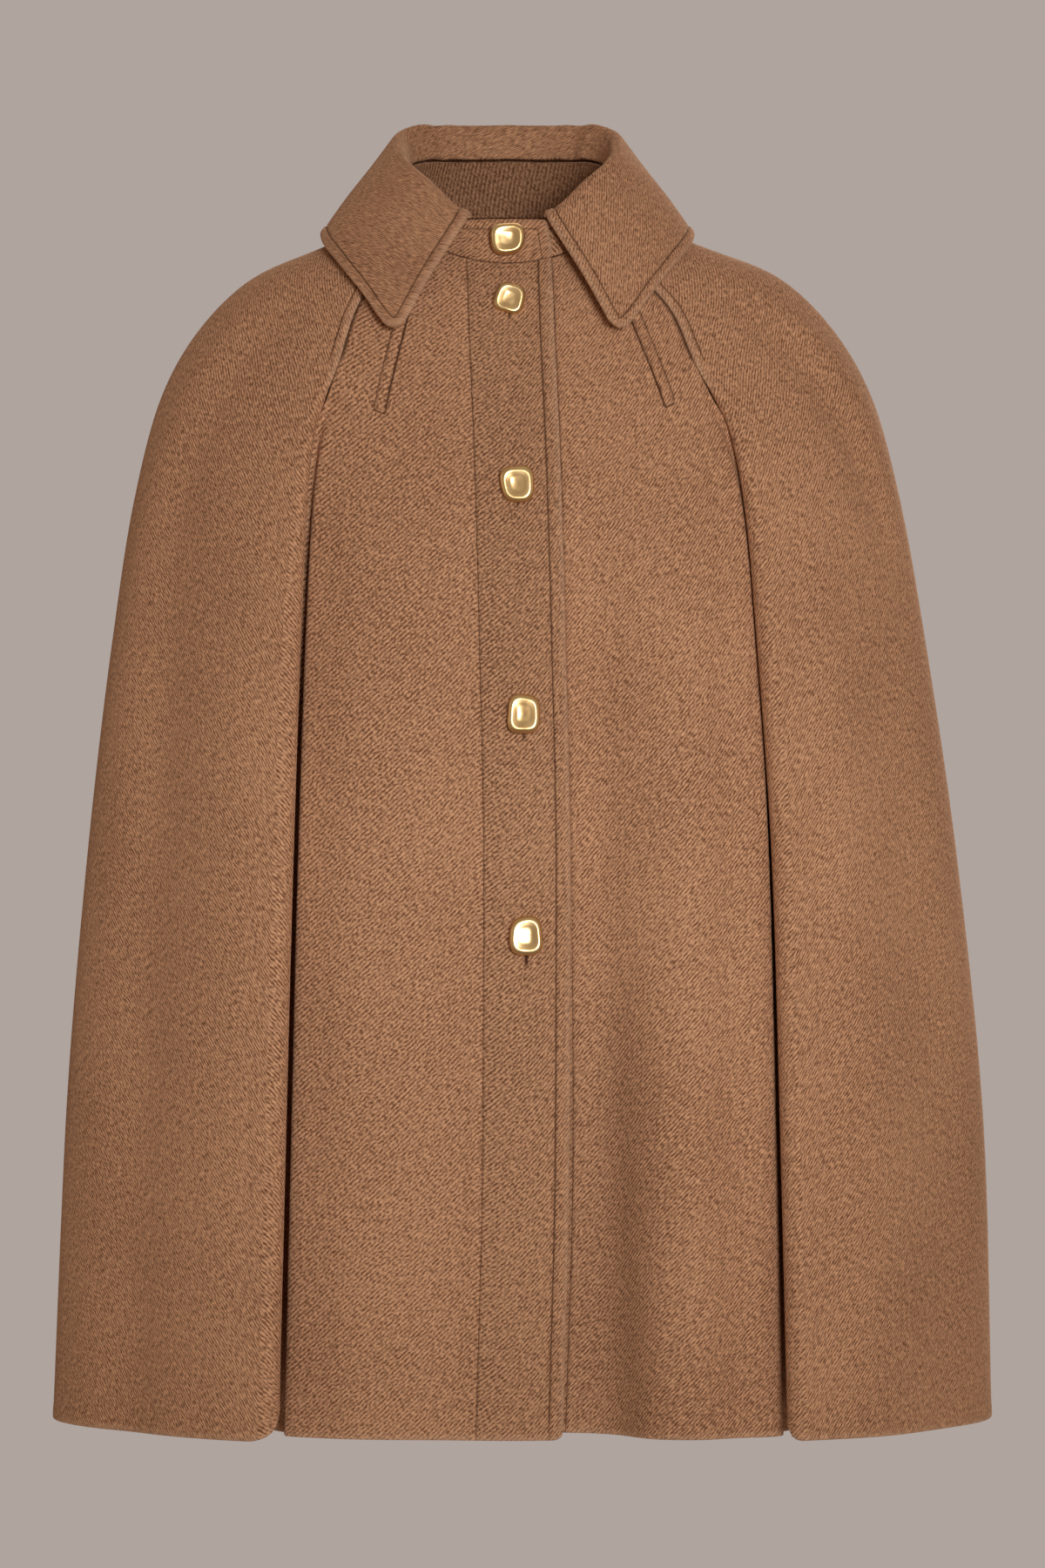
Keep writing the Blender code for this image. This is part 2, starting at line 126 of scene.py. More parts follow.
def monotone(table: Sequence[Sequence[float]], knots: Sequence[float], at: Array) -> Array:
    """Smooth curve through a table's rows, one column per size, that never overshoots a row.

    At each row the slope is the harmonic mean of its two neighbours' slopes, or flat at a turn.

    Args:
        table: the rows.
        knots: where each row stands.
        at: the places to read.

    Returns:
        The sizes at those places, on a last axis.
    """
    table, knots, at = np.array(table, float), np.array(knots, float), np.asarray(at, float)
    gaps = np.diff(knots)
    steps = np.diff(table, axis=0) / gaps[:, None]
    same_way = steps[:-1] * steps[1:] > 0
    total = np.where(same_way, steps[:-1] + steps[1:], 1.0)
    slope = np.zeros_like(table)
    slope[1:-1] = np.where(same_way, 2.0 * steps[:-1] * steps[1:] / total, 0.0)
    slope[0], slope[-1] = steps[0], steps[-1]
    row = np.clip(np.searchsorted(knots, at, side="right") - 1, 0, len(gaps) - 1)
    gap = gaps[row][..., None]
    t = (at - knots[row])[..., None] / gap
    return cubic(t, gap, table[row], table[row + 1], slope[row], slope[row + 1])


def spline(rows: Array, knots: Sequence[float], at: Array) -> Array:
    """Cubic through rows of points, each row at its knot; the slope at a row joins its neighbours.

    Args:
        rows: points, one row per knot on the first axis.
        knots: where each row stands.
        at: the place to read, for each point of a row.

    Returns:
        One point for each place.
    """
    knots = np.array(knots)
    slope = np.empty_like(rows)
    slope[1:-1] = (rows[2:] - rows[:-2]) / (knots[2:] - knots[:-2])[:, None, None, None]
    slope[0] = (rows[1] - rows[0]) / (knots[1] - knots[0])
    slope[-1] = (rows[-1] - rows[-2]) / (knots[-1] - knots[-2])
    row = np.clip(np.searchsorted(knots, at, side="right") - 1, 0, len(knots) - 2)
    gap = (knots[row + 1] - knots[row])[..., None]
    t = (at - knots[row])[..., None] / gap
    start, end, out, into = (np.take_along_axis(stack, k[None, ..., None], 0)[0]
                             for stack, k in ((rows, row), (rows, row + 1), (slope, row), (slope, row + 1)))
    return cubic(t, gap, start, end, out, into)


def joined(*parts: Array | float) -> Array:
    """x, y and z arrays as one array of points."""
    return np.stack(np.broadcast_arrays(*parts), -1)


def resample(table: Array, wanted: Array, values: Array) -> Array:
    """Reads values where a rising table reaches the wanted lengths, down each column.

    The columns are laid end to end on one line, each pushed past the one before, so that one linear
    interpolation serves them all.

    Args:
        table: lengths that rise along axis 0.
        wanted: lengths to find, with the same columns.
        values: what to read, of the table's shape, with or without a last axis.

    Returns:
        The values at the wanted lengths.
    """
    wanted = np.clip(wanted, table[0], table[-1])
    push = np.arange(table.shape[1]) * (table[-1].max() + 1.0)
    line, at = (table + push).T.ravel(), (wanted + push).T.ravel()
    if values.ndim == 3:
        return np.stack([resample(table, wanted, values[..., k]) for k in range(values.shape[2])], -1)
    found = np.interp(at, line, values.T.ravel())
    return found.reshape(wanted.shape[1], -1).T


def lengths(points: Array) -> Array:
    """Length along axis 0 from the first point, for each column of points."""
    steps = np.linalg.norm(np.diff(points, axis=0), axis=-1)
    return np.concatenate([np.zeros_like(steps[:1]), np.cumsum(steps, axis=0)])


# --- the cape's form ----------------------------------------------------------------------------


class Ring(NamedTuple):
    """One level of the cape, from the neck seam down to the hem."""

    z_front: float         # height at the front centre, at the side and at the back centre
    z_side: float
    z_back: float
    half_width: float
    front_depth: float     # from the neck axis forward to the front panels
    side_depth: float      # the same for the oval that the side panels follow
    back_depth: float
    mid_x: float           # the level's middle: the cape hangs slightly askew
    placket_x: float       # middle of the buttonhole placket
    slit_right: float      # leading edge of the wearer's right side panel
    slit_left: float       # and of the left one
    fold_depth: float      # how far back the fold behind that edge goes
    fold_out: float        # and how far outside the edge its bottom lies
    roll: float            # radius of the edge's roll
    arm_gap: float         # how far the front's edge stays off the seam, to let an arm through
    back_seam: float       # from the middle to each back seam
    recess: float          # how far the left front swings back under the placket


RINGS = (
    # Heights, half width, depths, middles, slit edges, fold, roll, arm gap, back seam and recess:
    #   front    side  back  width front  side  back   mid plack   right   left fold out roll gap seam  in
    Ring( -24,    8.0,   14,  76.0,   72,   72,   62, -9.5, -8.4,  -64.0,  44.0,   0,  0,   3,  0,  44,  0),
    Ring( -42,  -10.0,   -3, 122.5,   80,   80,   76, -5.5, -7.4,  -88.0,  71.0,   0,  0,   3,  0,  70,  0),
    Ring( -66,  -27.5,  -28, 164.0,   90,   90,   88, -4.0, -6.6, -103.0,  92.0,   0,  0,   3,  0,  92,  0),
    Ring(-100,  -60.5,  -66, 199.0,  103,  103,   98, -4.0, -5.0, -114.0, 107.0,   0,  0,   3,  0, 110,  0),
    Ring(-142, -104.0, -112, 223.5,  116,  118,  106, -3.8, -3.2, -129.0, 128.5,  13,  9,   4,  2, 122,  0),
    Ring(-190, -170.0, -175, 241.0,  127,  132,  113, -3.4, -1.6, -134.5, 139.0,  28, 17,   6, 12, 131,  0),
    Ring(-265, -260.0, -260, 255.5,  137,  149,  120, -2.0,  0.3, -137.5, 145.5,  44, 23,   8, 13, 140,  0),
    Ring(-400, -400.0, -400, 272.8,  146,  167,  131,  0.2,  2.9, -141.5, 154.0,  76, 27,   9,  0, 151,  6),
    Ring(-570, -570.0, -570, 287.0,  152,  182,  142,  1.6,  2.3, -145.5, 158.5,  98, 30,   9,  0, 160, 29),
    Ring(-745, -745.0, -745, 293.0,  156,  193,  150,  0.0, -1.8, -149.5, 162.5, 115, 32,   9,  0, 168, 45),
)
HEM = len(RINGS) - 1


@dataclass(frozen=True)
class CapeForm:
    """The cape's hollow body: each panel's middle surface, with the level s from 0 at the neck to HEM."""

    cloth: float = 2.4             # wall of a single panel
    placket_width: float = 53.0
    underlap: float = 4.2          # how far the button placket lies behind the buttonhole placket,
    lap_from: float = 30.0         # full up to this far out,
    lap_share: float = 0.85        # and gone at this share of the way to the slit
    slack_from: float = 5.0        # the left front's slack fold is full up to here,
    slack_within: float = 85.0     # and gone this much further out
    slit_top: float = 3.0          # the lapped seam ends at this ring and the slit starts
    folded_by: float = 3.7         # from this ring down the edge is turned right back
    out_from: float = 3.5          # the fold's bottom moves outwards from this ring,
    out_within: float = 0.7        # within this much
    left_arm_share: float = 1.15   # the left arm slit hangs this much wider
    corner: float = 1.0            # how much squarer than an ellipse the fronts get below the slit
    flute_top: float = 4.0         # the back's soft flutes start at this ring,
    flute_from: float = 1.75       # from this angle on, in radians,
    flute_within: float = 0.5      # full this much further,
    flute_share: float = 0.045     # and at the hem their half depth is this share of the oval's size
    flutes: float = 4.0            # waves in half a turn
    brink: float = 0.72            # where a side panel's leading edge starts to turn back
    rolled: float = 0.88           # and where it has turned back

    @staticmethod
    def level(s: Array) -> Ring:
        """The ring's sizes at level s."""
        return Ring(*np.moveaxis(monotone(RINGS, range(len(RINGS)), s), -1, 0))

    def oval(self, s: Array, angle: Array, side: Array | float) -> Array:
        """Point of the body's oval: half an ellipse in front and half a fuller one behind.

        The height goes with the cosine squared, and soft flutes draw the back in, more towards the hem.

        Args:
            s: level.
            angle: from the front centre, in radians.
            side: -1 or +1.

        Returns:
            Points in millimetres.
        """
        ring = self.level(s)
        cosine, sine = np.cos(angle), np.sin(angle)
        front = cosine > 0
        depth = np.where(front, ring.side_depth, ring.back_depth)
        height = np.where(front, ring.z_front, ring.z_back)
        behind = smooth((angle - self.flute_from) / self.flute_within)
        flute = self.flute_share * smooth((s - self.flute_top) / (HEM - self.flute_top)) * behind
        swell = 1.0 - flute * (1.0 - np.cos(2.0 * self.flutes * (math.pi - angle)))
        return joined(ring.mid_x + side * ring.half_width * sine * swell, -depth * cosine * swell,
                      ring.z_side + (height - ring.z_side) * cosine ** 2)

    def across(self, ring: Ring, side: int) -> Array:
        """From the middle out to the slit's edge, as a positive length."""
        return side * ((ring.slit_left if side > 0 else ring.slit_right) - ring.mid_x)

    def fold_bottom(self, s: Array, side: int) -> tuple[Array, Array, Array]:
        """Where front and side panel are sewn together: across, y and how sharply the fold has turned."""
        ring = self.level(s)
        turned = smooth((s - self.slit_top) / (self.folded_by - self.slit_top))
        reach = self.across(ring, side)
        edge_y = -ring.side_depth * np.sqrt(1.0 - (reach / ring.half_width) ** 2)
        out = ring.fold_out * smooth((s - self.out_from) / self.out_within)
        return reach + out, edge_y + ring.fold_depth, turned

    def half_gap(self, turned: Array) -> Array:
        """From the seam's line to a panel's middle: half the seam, and half a wall where the fold turns."""
        return 0.5 * (SEAM + self.cloth * turned)

    def side_panel(self, side: int) -> Surface:
        """A side panel: u = 0 at the back seam, `brink` where its leading edge turns back, 1 in the fold.

        Above the slit the edge is flat and lapped. Below, it is rounded and then goes back and outwards, in a
        curve that is steepest at its start and straight back at the bottom.
        """
        def surface(u: Array, s: Array) -> Array:
            """The panel's point at u and s."""
            ring = self.level(s)
            reach = self.across(ring, side)
            start = np.arcsin((reach + ring.roll) / ring.half_width)
            end = math.pi - np.arcsin(ring.back_seam / ring.half_width) - 0.5 * SEAM / ring.half_width
            panel = self.oval(s, end + (start - end) * np.minimum(u / self.brink, 1.0), side)
            bottom_x, bottom_y, turned = self.fold_bottom(s, side)
            half_gap = self.half_gap(turned)
            w = np.clip((u - self.brink) / (1.0 - self.brink), 0.0, 1.0)
            lapped = reach + ring.roll + (half_gap - ring.roll) * w
            flat = self.oval(s, np.arcsin(lapped / ring.half_width), side)
            brink = self.oval(s, start, side)
            deep = np.maximum(ring.fold_depth - 2.0 * ring.roll, ring.roll)
            slant = np.arctan2(2.0 * (bottom_x - reach), deep)
            turn = np.clip((u - self.brink) / (self.rolled - self.brink), 0.0, 1.0) * (math.pi / 2 + slant)
            back = np.clip((u - self.rolled) / (1.0 - self.rolled), 0.0, 1.0)
            x = reach + ring.roll * (1.0 - np.sin(turn))
            y = brink[..., 1] + ring.roll * (1.0 - np.cos(turn))
            x = x + (bottom_x + half_gap - x) * (1.0 - (1.0 - back) ** 2)
            y = y + (bottom_y - y) * back
            fold = joined(ring.mid_x + side * x, y, brink[..., 2])
            edge = flat + (fold - flat) * turned[..., None]
            return np.where((u > self.brink)[..., None], edge, panel)

        return surface

    def front_edge(self, s: Array, side: int) -> Array:
        """How far out a front panel's edge lies: at the seam in the fold, or short of it at the arm slit."""
        bottom_x, _, turned = self.fold_bottom(s, side)
        wider = self.left_arm_share if side > 0 else 1.0
        return bottom_x - self.half_gap(turned) - wider * self.level(s).arm_gap

    def front_curve(self, s: Array, x: Array, side: int) -> tuple[Array, Array, Array]:
        """A front panel's point at a place across, with its oval's half width and corner exponent.

        The oval has rounded corners and passes through the front panel's edge, deep in the fold.
        """
        ring = self.level(s)
        end_x, end_y = self.front_edge(s, side), self.fold_bottom(s, side)[1]
        corner = 2.0 + self.corner * smooth((s - self.slit_top) / 3.0)
        share = np.clip(-end_y / ring.front_depth, 0.0, 0.999) ** corner
        width = end_x / (1.0 - share) ** (1.0 / corner)
        out = np.clip(np.abs(x) / width, 0.0, 1.0)
        y = -ring.front_depth * (1.0 - out ** corner) ** (1.0 / corner)
        fall = 1.0 - np.clip(np.abs(x) / ring.half_width, 0, 1) ** 2
        return joined(ring.mid_x + x, y, ring.z_side + (ring.z_front - ring.z_side) * fall), width, corner

    def behind_placket(self, point: Array, s: Array, x: Array) -> Array:
        """Moves a point of the left front back: under the other placket, and into its slack fold."""
        ring = self.level(s)
        gone = self.lap_share * self.across(ring, 1)
        under = self.underlap * (1.0 - smooth((x - self.lap_from) / (gone - self.lap_from)))
        slack = ring.recess * (1.0 - smooth((x - self.slack_from) / self.slack_within))
        return point + joined(0.0, under + slack, 0.0)

    def front_panel(self, side: int) -> Surface:
        """A front panel: u = 0 at its placket seam, 1 at the bottom of the fold."""
        def surface(u: Array, s: Array) -> Array:
            """The panel's point at u and s."""
            ring = self.level(s)
            end_x = self.front_edge(s, side)
            _, width, corner = self.front_curve(s, 0.0 * u, side)
            seam = side * (ring.placket_x - ring.mid_x) + 0.5 * self.placket_width + 0.5 * SEAM
            first = np.arcsin(np.clip(seam / width, 0, 1) ** (corner / 2))
            last = np.arcsin(np.clip(end_x / width, 0, 1) ** (corner / 2))
            x = width * np.sin(first + (last - first) * u) ** (2 / corner)
            point = self.front_curve(s, side * x, side)[0]
            return self.behind_placket(point, s, x) if side > 0 else point

        return surface

    def placket(self, side: int) -> Surface:
        """A placket, as wide as it is sewn: u = 0 at its free edge, 1 at its seam."""
        def surface(u: Array, s: Array) -> Array:
            """The placket's point at u and s."""
            ring = self.level(s)
            x = ring.placket_x - ring.mid_x + side * (u - 0.5) * (self.placket_width - SEAM)
            point = self.front_curve(s, x, side)[0]
            return self.behind_placket(point, s, x) if side > 0 else point

        return surface

    def back_panel(self, u: Array, s: Array) -> Array:
        """The back panel: u = -1 at the wearer's right back seam, +1 at the left one."""
        ring = self.level(s)
        seam = math.pi - np.arcsin(ring.back_seam / ring.half_width) + 0.5 * SEAM / ring.half_width
        return self.oval(s, math.pi - (math.pi - seam) * np.abs(u), np.where(u < 0, -1.0, 1.0))


class Station(NamedTuple):
    """The collar at one angle round the neck, in degrees from the front centre."""

    angle: float           # of the stand and of the roll
    top_out: float         # top of the stand: out from the neck's middle, and height
    top_z: float
    roll_out: float        # the line where the collar turns over
    roll_z: float
    edge_angle: float      # the leaf's outer edge
    edge_out: float
    edge_z: float


STATIONS = (
    #       angle  top  top_z  roll roll_z  edge  out  edge_z
    Station(  0.0, 66.0,  4.0, 67.5,  7.0,  20.0, 126.0, -84.0),
    Station( 20.0, 66.0,  4.0, 67.5,  7.0,  33.0, 124.0, -71.0),
    Station( 45.0, 67.0, 18.0, 71.0, 31.0,  51.5, 119.0, -38.0),
    Station( 70.0, 65.0, 31.0, 68.5, 47.5,  69.0, 119.5, -14.0),
    Station( 90.0, 63.0, 39.0, 66.0, 58.0,  90.0, 116.5,  -0.5),
    Station(110.0, 63.0, 46.0, 68.0, 67.0, 110.0, 112.0,   1.0),
    Station(130.0, 61.0, 50.0, 66.0, 73.0, 130.0, 106.0,  -1.0),
    Station(180.0, 57.0, 52.0, 60.0, 74.5, 180.0,  89.0,  -3.0),
)


@dataclass(frozen=True)
class CollarForm:
    """The collar's two middle surfaces, by the angle in degrees from the front centre round the neck."""

    leaf_rise: float = 1.9         # the leaf starts this far above the stand
    leaf_bulge: float = 1.5        # the leaf's outward curve between the roll and the edge
    leaf_start: float = 20.2       # degrees from the front centre to each leaf's front edge
    stand_end: float = 21.2        # and past it to each end of the stand
    stand_lap: float = 1.8         # the stand's upper end stands this far out, and its lower end this far in
    stand_rise: float = 2.0        # the stand starts this far above the neck seam
    shoulder_rise: float = 0.6     # and this much more where the shoulder lies nearly flat
    front_drop: float = 1.3        # and this much less in front, where the seam shows

    @staticmethod
    def station(angle: Array) -> Station:
        """The collar's sizes at an angle, the same on both sides of the front centre."""
        away = np.abs((np.asarray(angle, float) + 180.0) % 360.0 - 180.0)
        return Station(*np.moveaxis(monotone(STATIONS, [row.angle for row in STATIONS], away), -1, 0))

    @staticmethod
    def polar(angle: Array, out: Array, z: Array) -> Array:
        """Point at an angle from the front centre, round the neck's middle."""
        turn = np.radians(angle)
        return joined(RINGS[0].mid_x + out * np.sin(turn), -out * np.cos(turn), z)

    def stand(self, angle: Array, v: Array) -> Array:
        """The stand, from its lower end round to its upper end: v = 0 at the neck seam and 1 at the top."""
        at, turn, ring = self.station(angle), np.radians(angle), RINGS[0]
        ahead = np.cos(turn) > 0
        depth = np.where(ahead, ring.front_depth, ring.back_depth)
        height = np.where(ahead, ring.z_front, ring.z_back)
        seam_z = ring.z_side + (height - ring.z_side) * np.cos(turn) ** 2
        foot_z = seam_z + self.stand_rise + self.shoulder_rise * smooth(1.4 - 2.0 * np.cos(turn))
        foot_z = foot_z - self.front_drop * smooth(2.5 * np.cos(turn) - 1.0)
        side, ahead_by = ring.half_width * np.sin(turn), depth * np.cos(turn)
        lap = self.stand_lap * ((angle - 180.0) / (180.0 + self.stand_end)) ** 5
        foot = self.polar(np.degrees(np.arctan2(side, ahead_by)), np.hypot(side, ahead_by) + lap, foot_z)
        top = self.polar(angle, at.top_out + lap, at.top_z)
        return foot + (top - foot) * v[..., None]

    def leaf(self, angle: Array, v: Array) -> Array:
        """The collar leaf: v = 0 at the top of the stand, about 0.25 at the roll and 1 at the outer edge."""
        at = self.station(angle)
        edge_angle = np.where(angle > 180.0, 360.0 - at.edge_angle, at.edge_angle)
        rise = np.maximum(at.roll_z - at.top_z, 3.0)
        over = self.polar(angle, at.roll_out + 8.0, at.roll_z - 4.5)
        edge = self.polar(edge_angle, at.edge_out, at.edge_z)
        outward = joined(np.sin(np.radians(edge_angle)), -np.cos(np.radians(edge_angle)), 0.6)
        foot_z = at.top_z + self.leaf_rise
        # The section of the collar: up from the stand, over the roll, and out and down to the edge.
        rows = [self.polar(angle, at.top_out, foot_z),
                self.polar(angle, at.roll_out - 0.6, foot_z + 0.6 * rise),
                self.polar(angle, at.roll_out + 3.0, at.roll_z),
                over,
                0.5 * (over + edge) + self.leaf_bulge * outward,
                edge]
        return spline(np.stack(rows), (0.0, 0.12, 0.26, 0.36, 0.68, 1.0), v)


# --- cloth --------------------------------------------------------------------------------------


class Crease(NamedTuple):
    """A soft trough or ridge that runs down a panel and grows towards the hem."""

    top: float             # where it starts: millimetres from the cape's middle in front, degrees elsewhere
    hem: float             # where it meets the hem
    spread: float          # how far it reaches to each side, in the same unit
    starts: float          # level where it starts, and level where it is full
    full: float
    height: float          # millimetres out, or in where it is negative
    fades: float = 99.0    # level from which it dies away

    def relief(self, place: Array, s: Array) -> Array:
        """Its height at a place across and a level: a hump across times an S-curve in and one out again."""
        middle = self.top + (self.hem - self.top) * np.clip((s - self.starts) / (HEM - self.starts), 0, 1)
        grown = smooth((s - self.starts) / (self.full - self.starts)) * (1.0 - smooth((s - self.fades) / 2.2))
        return self.height * hump(place, middle, self.spread) * grown


def creased(creases: Sequence[Crease], place: Array, s: Array) -> Array:
    """The height of several creases together."""
    return sum((crease.relief(place, s) for crease in creases), np.zeros_like(place))


class Span(NamedTuple):
    """A stretch of one direction of a grid: fixed distances from its start and end, even steps between."""

    start: float
    end: float
    after: Sequence[float]
    before: Sequence[float]
    between: int

    def places(self, total: Array) -> Array:
        """Distances of the grid lines from the start, for each line's total length."""
        after, before = np.array(self.after)[:, None], np.array(self.before)[::-1, None]
        fit = np.minimum(1.0, 0.48 * total / max(after.max(), before.max(), 0.1))
        low, high = after * fit, total - before * fit
        share = np.linspace(0, 1, self.between + 2)[1:-1, None]
        return np.concatenate([low, low[-1] + (high[0] - low[-1]) * share, high])


def edge_lines(reach: float, *stitching: float, spacing: float = 1.6) -> list[float]:
    """Distances from an edge of the grid lines beside it: close at its rim and at each line of stitches.

    Args:
        reach: how far in the fixed lines go.
        stitching: distance of each line of stitching from the edge.
        spacing: between the other lines.

    Returns:
        Rising distances from 0.
    """
    rim = [0.0, 0.12, 0.4, 0.8, 1.3]
    sewn = [line + step for line in stitching for step in (-1.5, -0.95, -0.5, 0.0, 0.5, 0.95, 1.5)]
    plain = [x for x in np.arange(2.4, reach, spacing) if all(abs(x - y) > 0.45 * spacing for y in sewn)]
    return sorted(x for x in rim + sewn + plain if x <= reach)


@dataclass(frozen=True)
class Corners:
    """Radius of each rounded corner of a cloth piece, 0 where it is square."""

    start_hem: float = 0.0
    end_hem: float = 0.0
    brink_hem: float = 0.0         # where the end of the first span meets the hem,
    brink_past: float = 10.0       # and how far past it the corner ends


@dataclass
class Cloth:
    """A cloth piece's middle surface on a grid whose lines keep their distance from its edges."""

    u: Array
    s: Array
    point: Array
    from_start: Array      # distances from the four edges
    from_end: Array
    from_top: Array
    from_hem: Array
    from_brink: Array      # distance past the end of the first span
    outward: int           # 1 if the grid's own normal points out, or -1
    outer: Array = field(default_factory=lambda: np.empty(0))
    normal: Array = field(default_factory=lambda: np.empty(0))

    @classmethod
    def lay_out(cls, surface: Surface, across: Sequence[Span], down: Span, outward: int,
                corners: Corners = Corners()) -> Cloth:
        """Lays the grid on a surface by the lengths measured on it, first across and then down.

        Args:
            surface: the middle surface, of u across and s down.
            across: the spans of u, one after the other.
            down: the span of s.
            outward: 1 if the grid's own normal points out, or -1.
            corners: the corners' radii.

        Returns:
            The cloth, with no relief yet.
        """
        fine_across, fine_down = 161, 241
        s_fine = np.linspace(down.start, down.end, fine_down)
        columns, places, passed = [], [], np.zeros(fine_down)
        for number, span in enumerate(across):
            u_fine = np.linspace(span.start, span.end, fine_across)[:, None] + 0.0 * s_fine
            table = lengths(surface(u_fine, s_fine[None, :] + 0.0 * u_fine))
            wanted = span.places(table[-1])
            keep = slice(1 if number else 0, None)
            columns.append(resample(table, wanted, u_fine)[keep])
            places.append((passed + wanted)[keep])
            passed = passed + table[-1]
            if number == 0:
                brink = passed
        u, start = np.concatenate(columns), np.concatenate(places)
        table = lengths(np.swapaxes(surface(u, s_fine[None, :] + 0.0 * u), 0, 1))
        wanted = down.places(table[-1])
        s = resample(table, wanted, s_fine[:, None] + 0.0 * table).T
        u, start, end, past = (resample(table, wanted, np.ascontiguousarray(value.T)).T
                               for value in (u, start, passed - start, start - brink))
        top, hem = wanted.T, (table[-1] - wanted).T
        u, s = cls._rounded(surface, u, s, (start, end, hem, past), corners)
        return cls(u, s, surface(u, s), start, end, top, hem, past, outward)

    @staticmethod
    def _rounded(surface: Surface, u: Array, s: Array, edges: Sequence[Array], corners: Corners
                 ) -> tuple[Array, Array]:
        """Moves the grid in at the corners, as a square is mapped to a disc: a times the root of 1 - b*b/2.

        Past the brink the hem is lifted along a circle's arc, and the lift dies away up the cloth.

        Args:
            surface: the middle surface.
            u: grid across.
            s: grid down.
            edges: distances from the start, the end and the hem, and past the brink.
            corners: the corners' radii.

        Returns:
            The moved u and s.
        """
        nudge = 1e-3
        per_u = np.linalg.norm(surface(u + nudge, s) - surface(u - nudge, s), axis=-1) / (2 * nudge)
        per_s = np.linalg.norm(surface(u, s + nudge) - surface(u, s - nudge), axis=-1) / (2 * nudge)
        start, end, hem, past = edges
        for radius, side, way in ((corners.start_hem, start, 1), (corners.end_hem, end, -1)):
            if radius > 0:
                a, b = np.clip(1 - side / radius, 0, 1), np.clip(1 - hem / radius, 0, 1)
                u = u + way * radius * (a - a * np.sqrt(1 - b * b / 2)) / per_u
                s = s - radius * (b - b * np.sqrt(1 - a * a / 2)) / per_s
        if corners.brink_hem > 0:
            radius = corners.brink_hem
            lift = 1 - np.sqrt(1 - np.clip(1 + (past - corners.brink_past) / radius, 0, 1) ** 2)
            s = s - radius * lift * np.clip(1 - hem / (2.2 * radius), 0, 1) / per_s
        return u, s

    def raise_up(self, relief: Array) -> None:
        """Moves the middle surface out by a relief, in millimetres, and works out the normals."""
        self.point = self.point + self._normals() * relief[..., None]
        self.normal = self._normals()

    def _normals(self) -> Array:
        """Outward cross product of the grid's two directions, each from a point's neighbours."""
        normal = np.cross(np.gradient(self.point, axis=0), np.gradient(self.point, axis=1))
        return normal / np.linalg.norm(normal, axis=-1, keepdims=True) * self.outward

    def hem_puff(self) -> Array:
        """Relief of the turned-up hem, on the outer face."""
        return puff(self.from_hem, 0.0, HEM_TURNING, HEM_PUFF)

    def shell(self, name: str, thickness: float, face: Array, grain: Array, sewn: Sequence[Edge],
              rim: float = 0.12, painted_inner_shade: float = 0.0) -> bpy.types.Object:
        """Makes the closed shell: both faces at half the thickness from the middle, thinned to a round rim.

        At a distance d from a free edge, closer than half the thickness h, a face is the root of
        1 - (1 - d/h) squared times h away from the middle. A sewn edge is square, and its outer face turns
        down a little into the seam.

        Args:
            name: the object's name.
            thickness: of the cloth.
            face: relief of the outer face alone.
            grain: width of the grid across the grain, in millimetres, for the UV map.
            sewn: the edges that are sewn to another piece.
            rim: half the thickness left on the very edge.
            painted_inner_shade: how much painted shade darkens the inner face, as a share of a furrow's
                painted shade.

        Returns:
            The object.
        """
        nearest = np.minimum.reduce([getattr(self, edge.value) for edge in Edge if edge not in sewn])
        seam = np.minimum.reduce([getattr(self, edge.value) for edge in sewn])
        half = 0.5 * thickness
        inset = 1.0 - np.clip(nearest / half, 0, 1)
        height = rim + (half - rim) * np.sqrt(np.clip(1.0 - inset ** 2, 0, 1))
        turned_in = SEAM_TURN * (1.0 - smooth(seam / SEAM_REACH))
        self.outer = self.point + self.normal * (height + (face - turned_in) * (1.0 - inset))[..., None]
        inner = self.point - self.normal * height[..., None]
        first, second = (self.outer, inner)[::self.outward]
        columns, rows = self.u.shape
        count = columns * rows
        index = np.arange(count).reshape(columns, rows)
        quads = np.stack([index[:-1, :-1], index[1:, :-1], index[1:, 1:], index[:-1, 1:]], -1).reshape(-1, 4)
        loop = np.concatenate([index[:, 0], index[-1, 1:], index[-2::-1, -1], index[0, -2:0:-1]])
        after = np.roll(loop, -1)
        wall = np.stack([loop, loop + count, after + count, after], -1)
        points = np.concatenate([first.reshape(-1, 3), second.reshape(-1, 3)])
        uv = np.tile(np.stack([grain, -self.from_top], -1).reshape(-1, 2) * MM, (2, 1))
        worn = 1.0 - smooth(nearest / NAP_REACH)
        shallow, deep = PAINTED_SHADE_DEPTHS
        # Painted shade: the attribute falls in each groove, along each sewn edge and over the inner face,
        # where shade lies.
        furrow = smooth((-face - shallow) / (deep - shallow)) + SEAM_PAINTED_SHADE * turned_in
        edge = np.stack([worn - FURROW_PAINTED_SHADE * furrow, worn - FURROW_PAINTED_SHADE * painted_inner_shade][::self.outward]).ravel()
        return new_piece(name, points, quads, quads[:, ::-1] + count, wall, uv=uv, edge=edge)

    def trace(self, place: Array | float, first: float, last: float) -> tuple[Array, Array]:
        """Points and normals on the outer face at a distance from the start, between two distances down."""
        wanted = np.broadcast_to(np.asarray(place, float), self.u.shape[1:])[None, :]
        found = [resample(self.from_start, wanted, value)[0]
                 for value in (self.outer, self.normal, self.from_top[..., None])]
        kept = (found[2][:, 0] >= first) & (found[2][:, 0] <= last)
        return found[0][kept], found[1][kept]


